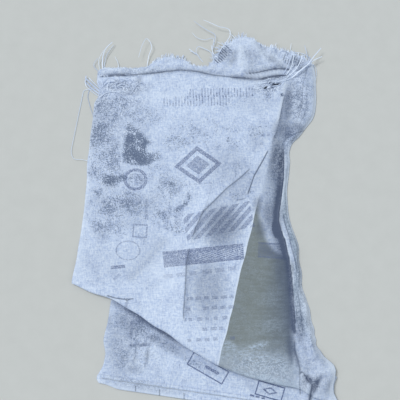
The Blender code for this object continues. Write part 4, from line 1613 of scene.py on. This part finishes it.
def worn_cloth(name, draw_print, soiled):
    """The outside of the sack. Only the upper part has the soiled hollow beside the crease."""
    cloth = Cloth(name, 0.35)
    place, speck, density = cloth.place, cloth.speck, cloth.density
    fine = cloth.noise(place, fine_grain, 2.0, 0.6)
    blotch = cloth.noise(place, outer_blotch_grain, 4.0, 0.62, 0.4)
    mottled = 0.5 * speck + 0.25 * fine + 0.25 * blotch
    cloth.paint(blotch.above(0.45, 2.6) * 0.35, grey_cloth)
    cloth.paint(speck.above(0.56, 12) * 0.35, grey_cloth)
    dashes = [(cloth.noise(place, 1.0, 1.0, 0.5, stretch=s) - 0.6) * 14 for s in ((330, 75, 1), (80, 330, 1))]
    cloth.paint(dashes[0].most(dashes[1]).clamped() * blotch.ramp(0.42, 0.64) * 0.45, grey_cloth)
    if soiled:
        soil_hollow(cloth, mottled)

    marks = Print(cloth, cloth.join(cloth.pixel_x, cloth.pixel_y))
    draw_print(marks)
    worn = (0.6 * fine + 0.4 * speck).above(0.42, 8)
    cloth.paint((marks.total * (0.2 + 0.55 * worn)).clamped(), ink_tone)
    cloth.catch_light()
    cloth.fall_in_shade(0.95)
    wrinkles = cloth.wrinkle()

    cloth.paint((density * 0.3).clamped(), grey_cloth)
    cloth.paint(mottled.above(0.43, -22) * density * 0.7, bright_cloth)
    specks = ((mottled - (0.61 - 0.19 * density)) * 20).clamped() * (0.4 + 0.6 * density).clamped()
    cloth.paint(specks * 0.9, grime_and_shade_tone)
    cloth.draw_creases(0.9)
    folds = cloth.noise(place, fold_grain, 4.0, 0.6) + wrinkles
    return cloth.done(folds, 1.2 * MM, 0.8, 0.46 + 0.25 * specks)


def plain_cloth(name):
    """The inside of the sack, and its underside: the same weave, only dusty, with painted light and shade."""
    cloth = Cloth(name, 0.3)
    blotch = cloth.noise(cloth.place, inner_blotch_grain, 4.0, 0.65)
    cloth.paint(blotch.above(0.5, 5) * 0.5, grey_cloth)
    cloth.paint(cloth.speck.above(0.55, 10) * 0.45, grey_cloth)
    cloth.catch_light()
    wrinkles = cloth.wrinkle()
    # painted shade in the gaps between the loose tapes at the flap's torn edges
    gaps = Print(cloth, cloth.join(cloth.pixel_x, cloth.pixel_y))
    gaps.ribs(1.7, (222, 55), (10, 4.5), 9, -48)
    gaps.ribs(0.9, (293, 61), (10, 5.5), 8, 20)
    cloth.paint((gaps.total * (2.2 * cloth.speck - 0.3)).clamped() * 0.8, shadow_blue)
    cloth.fall_in_shade(0.9)
    cloth.draw_creases(0.85)
    return cloth.done(blotch + wrinkles, 1.5 * MM, 0.9, 0.5)


upper_finish = worn_cloth("outer cloth of the upper part", upper_print, True)
lower_finish = worn_cloth("outer cloth of the lower part", lower_print, False)
inner_finish = plain_cloth("inner cloth")
back_finish = plain_cloth("cloth of the underside")
for material in (upper_finish, inner_finish, lower_finish, inner_finish, back_finish, inner_finish):
    sack.data.materials.append(material)
print("nodes in the upper finish:", len(upper_finish.node_tree.nodes))

# %% [markdown]
# ## The finish of the tapes and the thread
#
# The loose tapes are the sack's own, seen one by one, and no two have quite the same tone. A material for
# each would do it, but one is enough, because it draws the tone from the number that each tape keeps. The
# thread is dull and twisted. At its size a fine stripe in the bump shows the twist as well as a mesh would.

# %% Tapes and thread


def tape_finish():
    finish = Finish("loose tape")
    number, _, _ = finish.fact("piece_place").parts()
    shade = finish.random(finish.join(number, 1.0, 2.0))
    fibre = finish.noise(finish.object_place(), 900.0, 2.0)
    finish.base = finish.colour(shade * 0.6, bright_cloth, white_cloth)
    finish.paint((shade > 0.75) * 0.35, grey_cloth)
    return finish.set(Base_Color=finish.base, Roughness=0.4, Normal=finish.bump(fibre, 0.2 * MM, 0.5))


def thread_finish():
    finish = Finish("sewing thread")
    place = finish.object_place()
    x, y, _ = place.parts()
    twist = ((x + y) * 900).fract()
    base = finish.colour(finish.noise(place, 120.0, 2.0), tone(176, 184, 196), tone(206, 213, 222))
    return finish.set(Base_Color=base, Roughness=0.8, Normal=finish.bump(twist, 0.15 * MM, 0.6))


tapes.data.materials.append(tape_finish())
stitches.data.materials.append(thread_finish())
print("materials:", len(bpy.data.materials))

# %% [markdown]
# ## Floor and light
#
# One large soft lamp from behind on the left, as in the photograph, gives each crease a lit and a shaded
# side. More lamps would flatten the creases, so an even sky fills the shadows.

# %% Floor and light
floor_half = 3.0
lamp_direction, lamp_strength, lamp_softness = (-0.75, 0.3, 1.1), 1.45, 20
lamp_colour = (0.93, 0.97, 1.0)
sky_colour, sky_strength = (0.83, 0.92, 1.0, 1), 0.6

corners = [(x * floor_half, y * floor_half, 0) for x, y in ((-1, -1), (1, -1), (1, 1), (-1, 1))]
floor = new_object("floor", corners, [[0, 1, 2, 3]], soft=False)
floor_finish = Finish("floor")
grain = floor_finish.noise(floor_finish.object_place(), 30.0, 4.0)
pale = floor_finish.colour(grain, tone(206, 204, 198), tone(214, 212, 206))
floor.data.materials.append(floor_finish.set(Base_Color=pale, Roughness=0.9))

light = bpy.data.lights.new("soft_lamp", "SUN")
light.energy = lamp_strength
light.color = lamp_colour
light.angle = math.radians(lamp_softness)
lamp = bpy.data.objects.new("soft_lamp", light)
lamp.rotation_euler = Vector(lamp_direction).to_track_quat("Z", "Y").to_euler()
bpy.context.scene.collection.objects.link(lamp)

world = bpy.data.worlds.new("sky")
world.use_nodes = True
background = world.node_tree.nodes["Background"]
background.inputs["Color"].default_value = sky_colour
background.inputs["Strength"].default_value = sky_strength
bpy.context.scene.world = world
bpy.context.scene.view_settings.view_transform = "Standard"
print("one soft lamp and an even sky")

# %% [markdown]
# ## Attach the pieces
#
# Each piece is hung on the root, and the node of the imported model that it stands for is hidden. The sack is
# woven 490 mm wide as a flat tube, so 980 mm round, and it is about 870 mm long with its pleat and hem.

# %% Attach the pieces and hide the imported parts
for piece, node, slot in (
    (sack, "woven_sack", "woven_plastic"),
    (tapes, "woven_sack", "woven_plastic"),
    (stitches, "hem_thread", "thread"),
):
    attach(piece, "root")
    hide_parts(node)
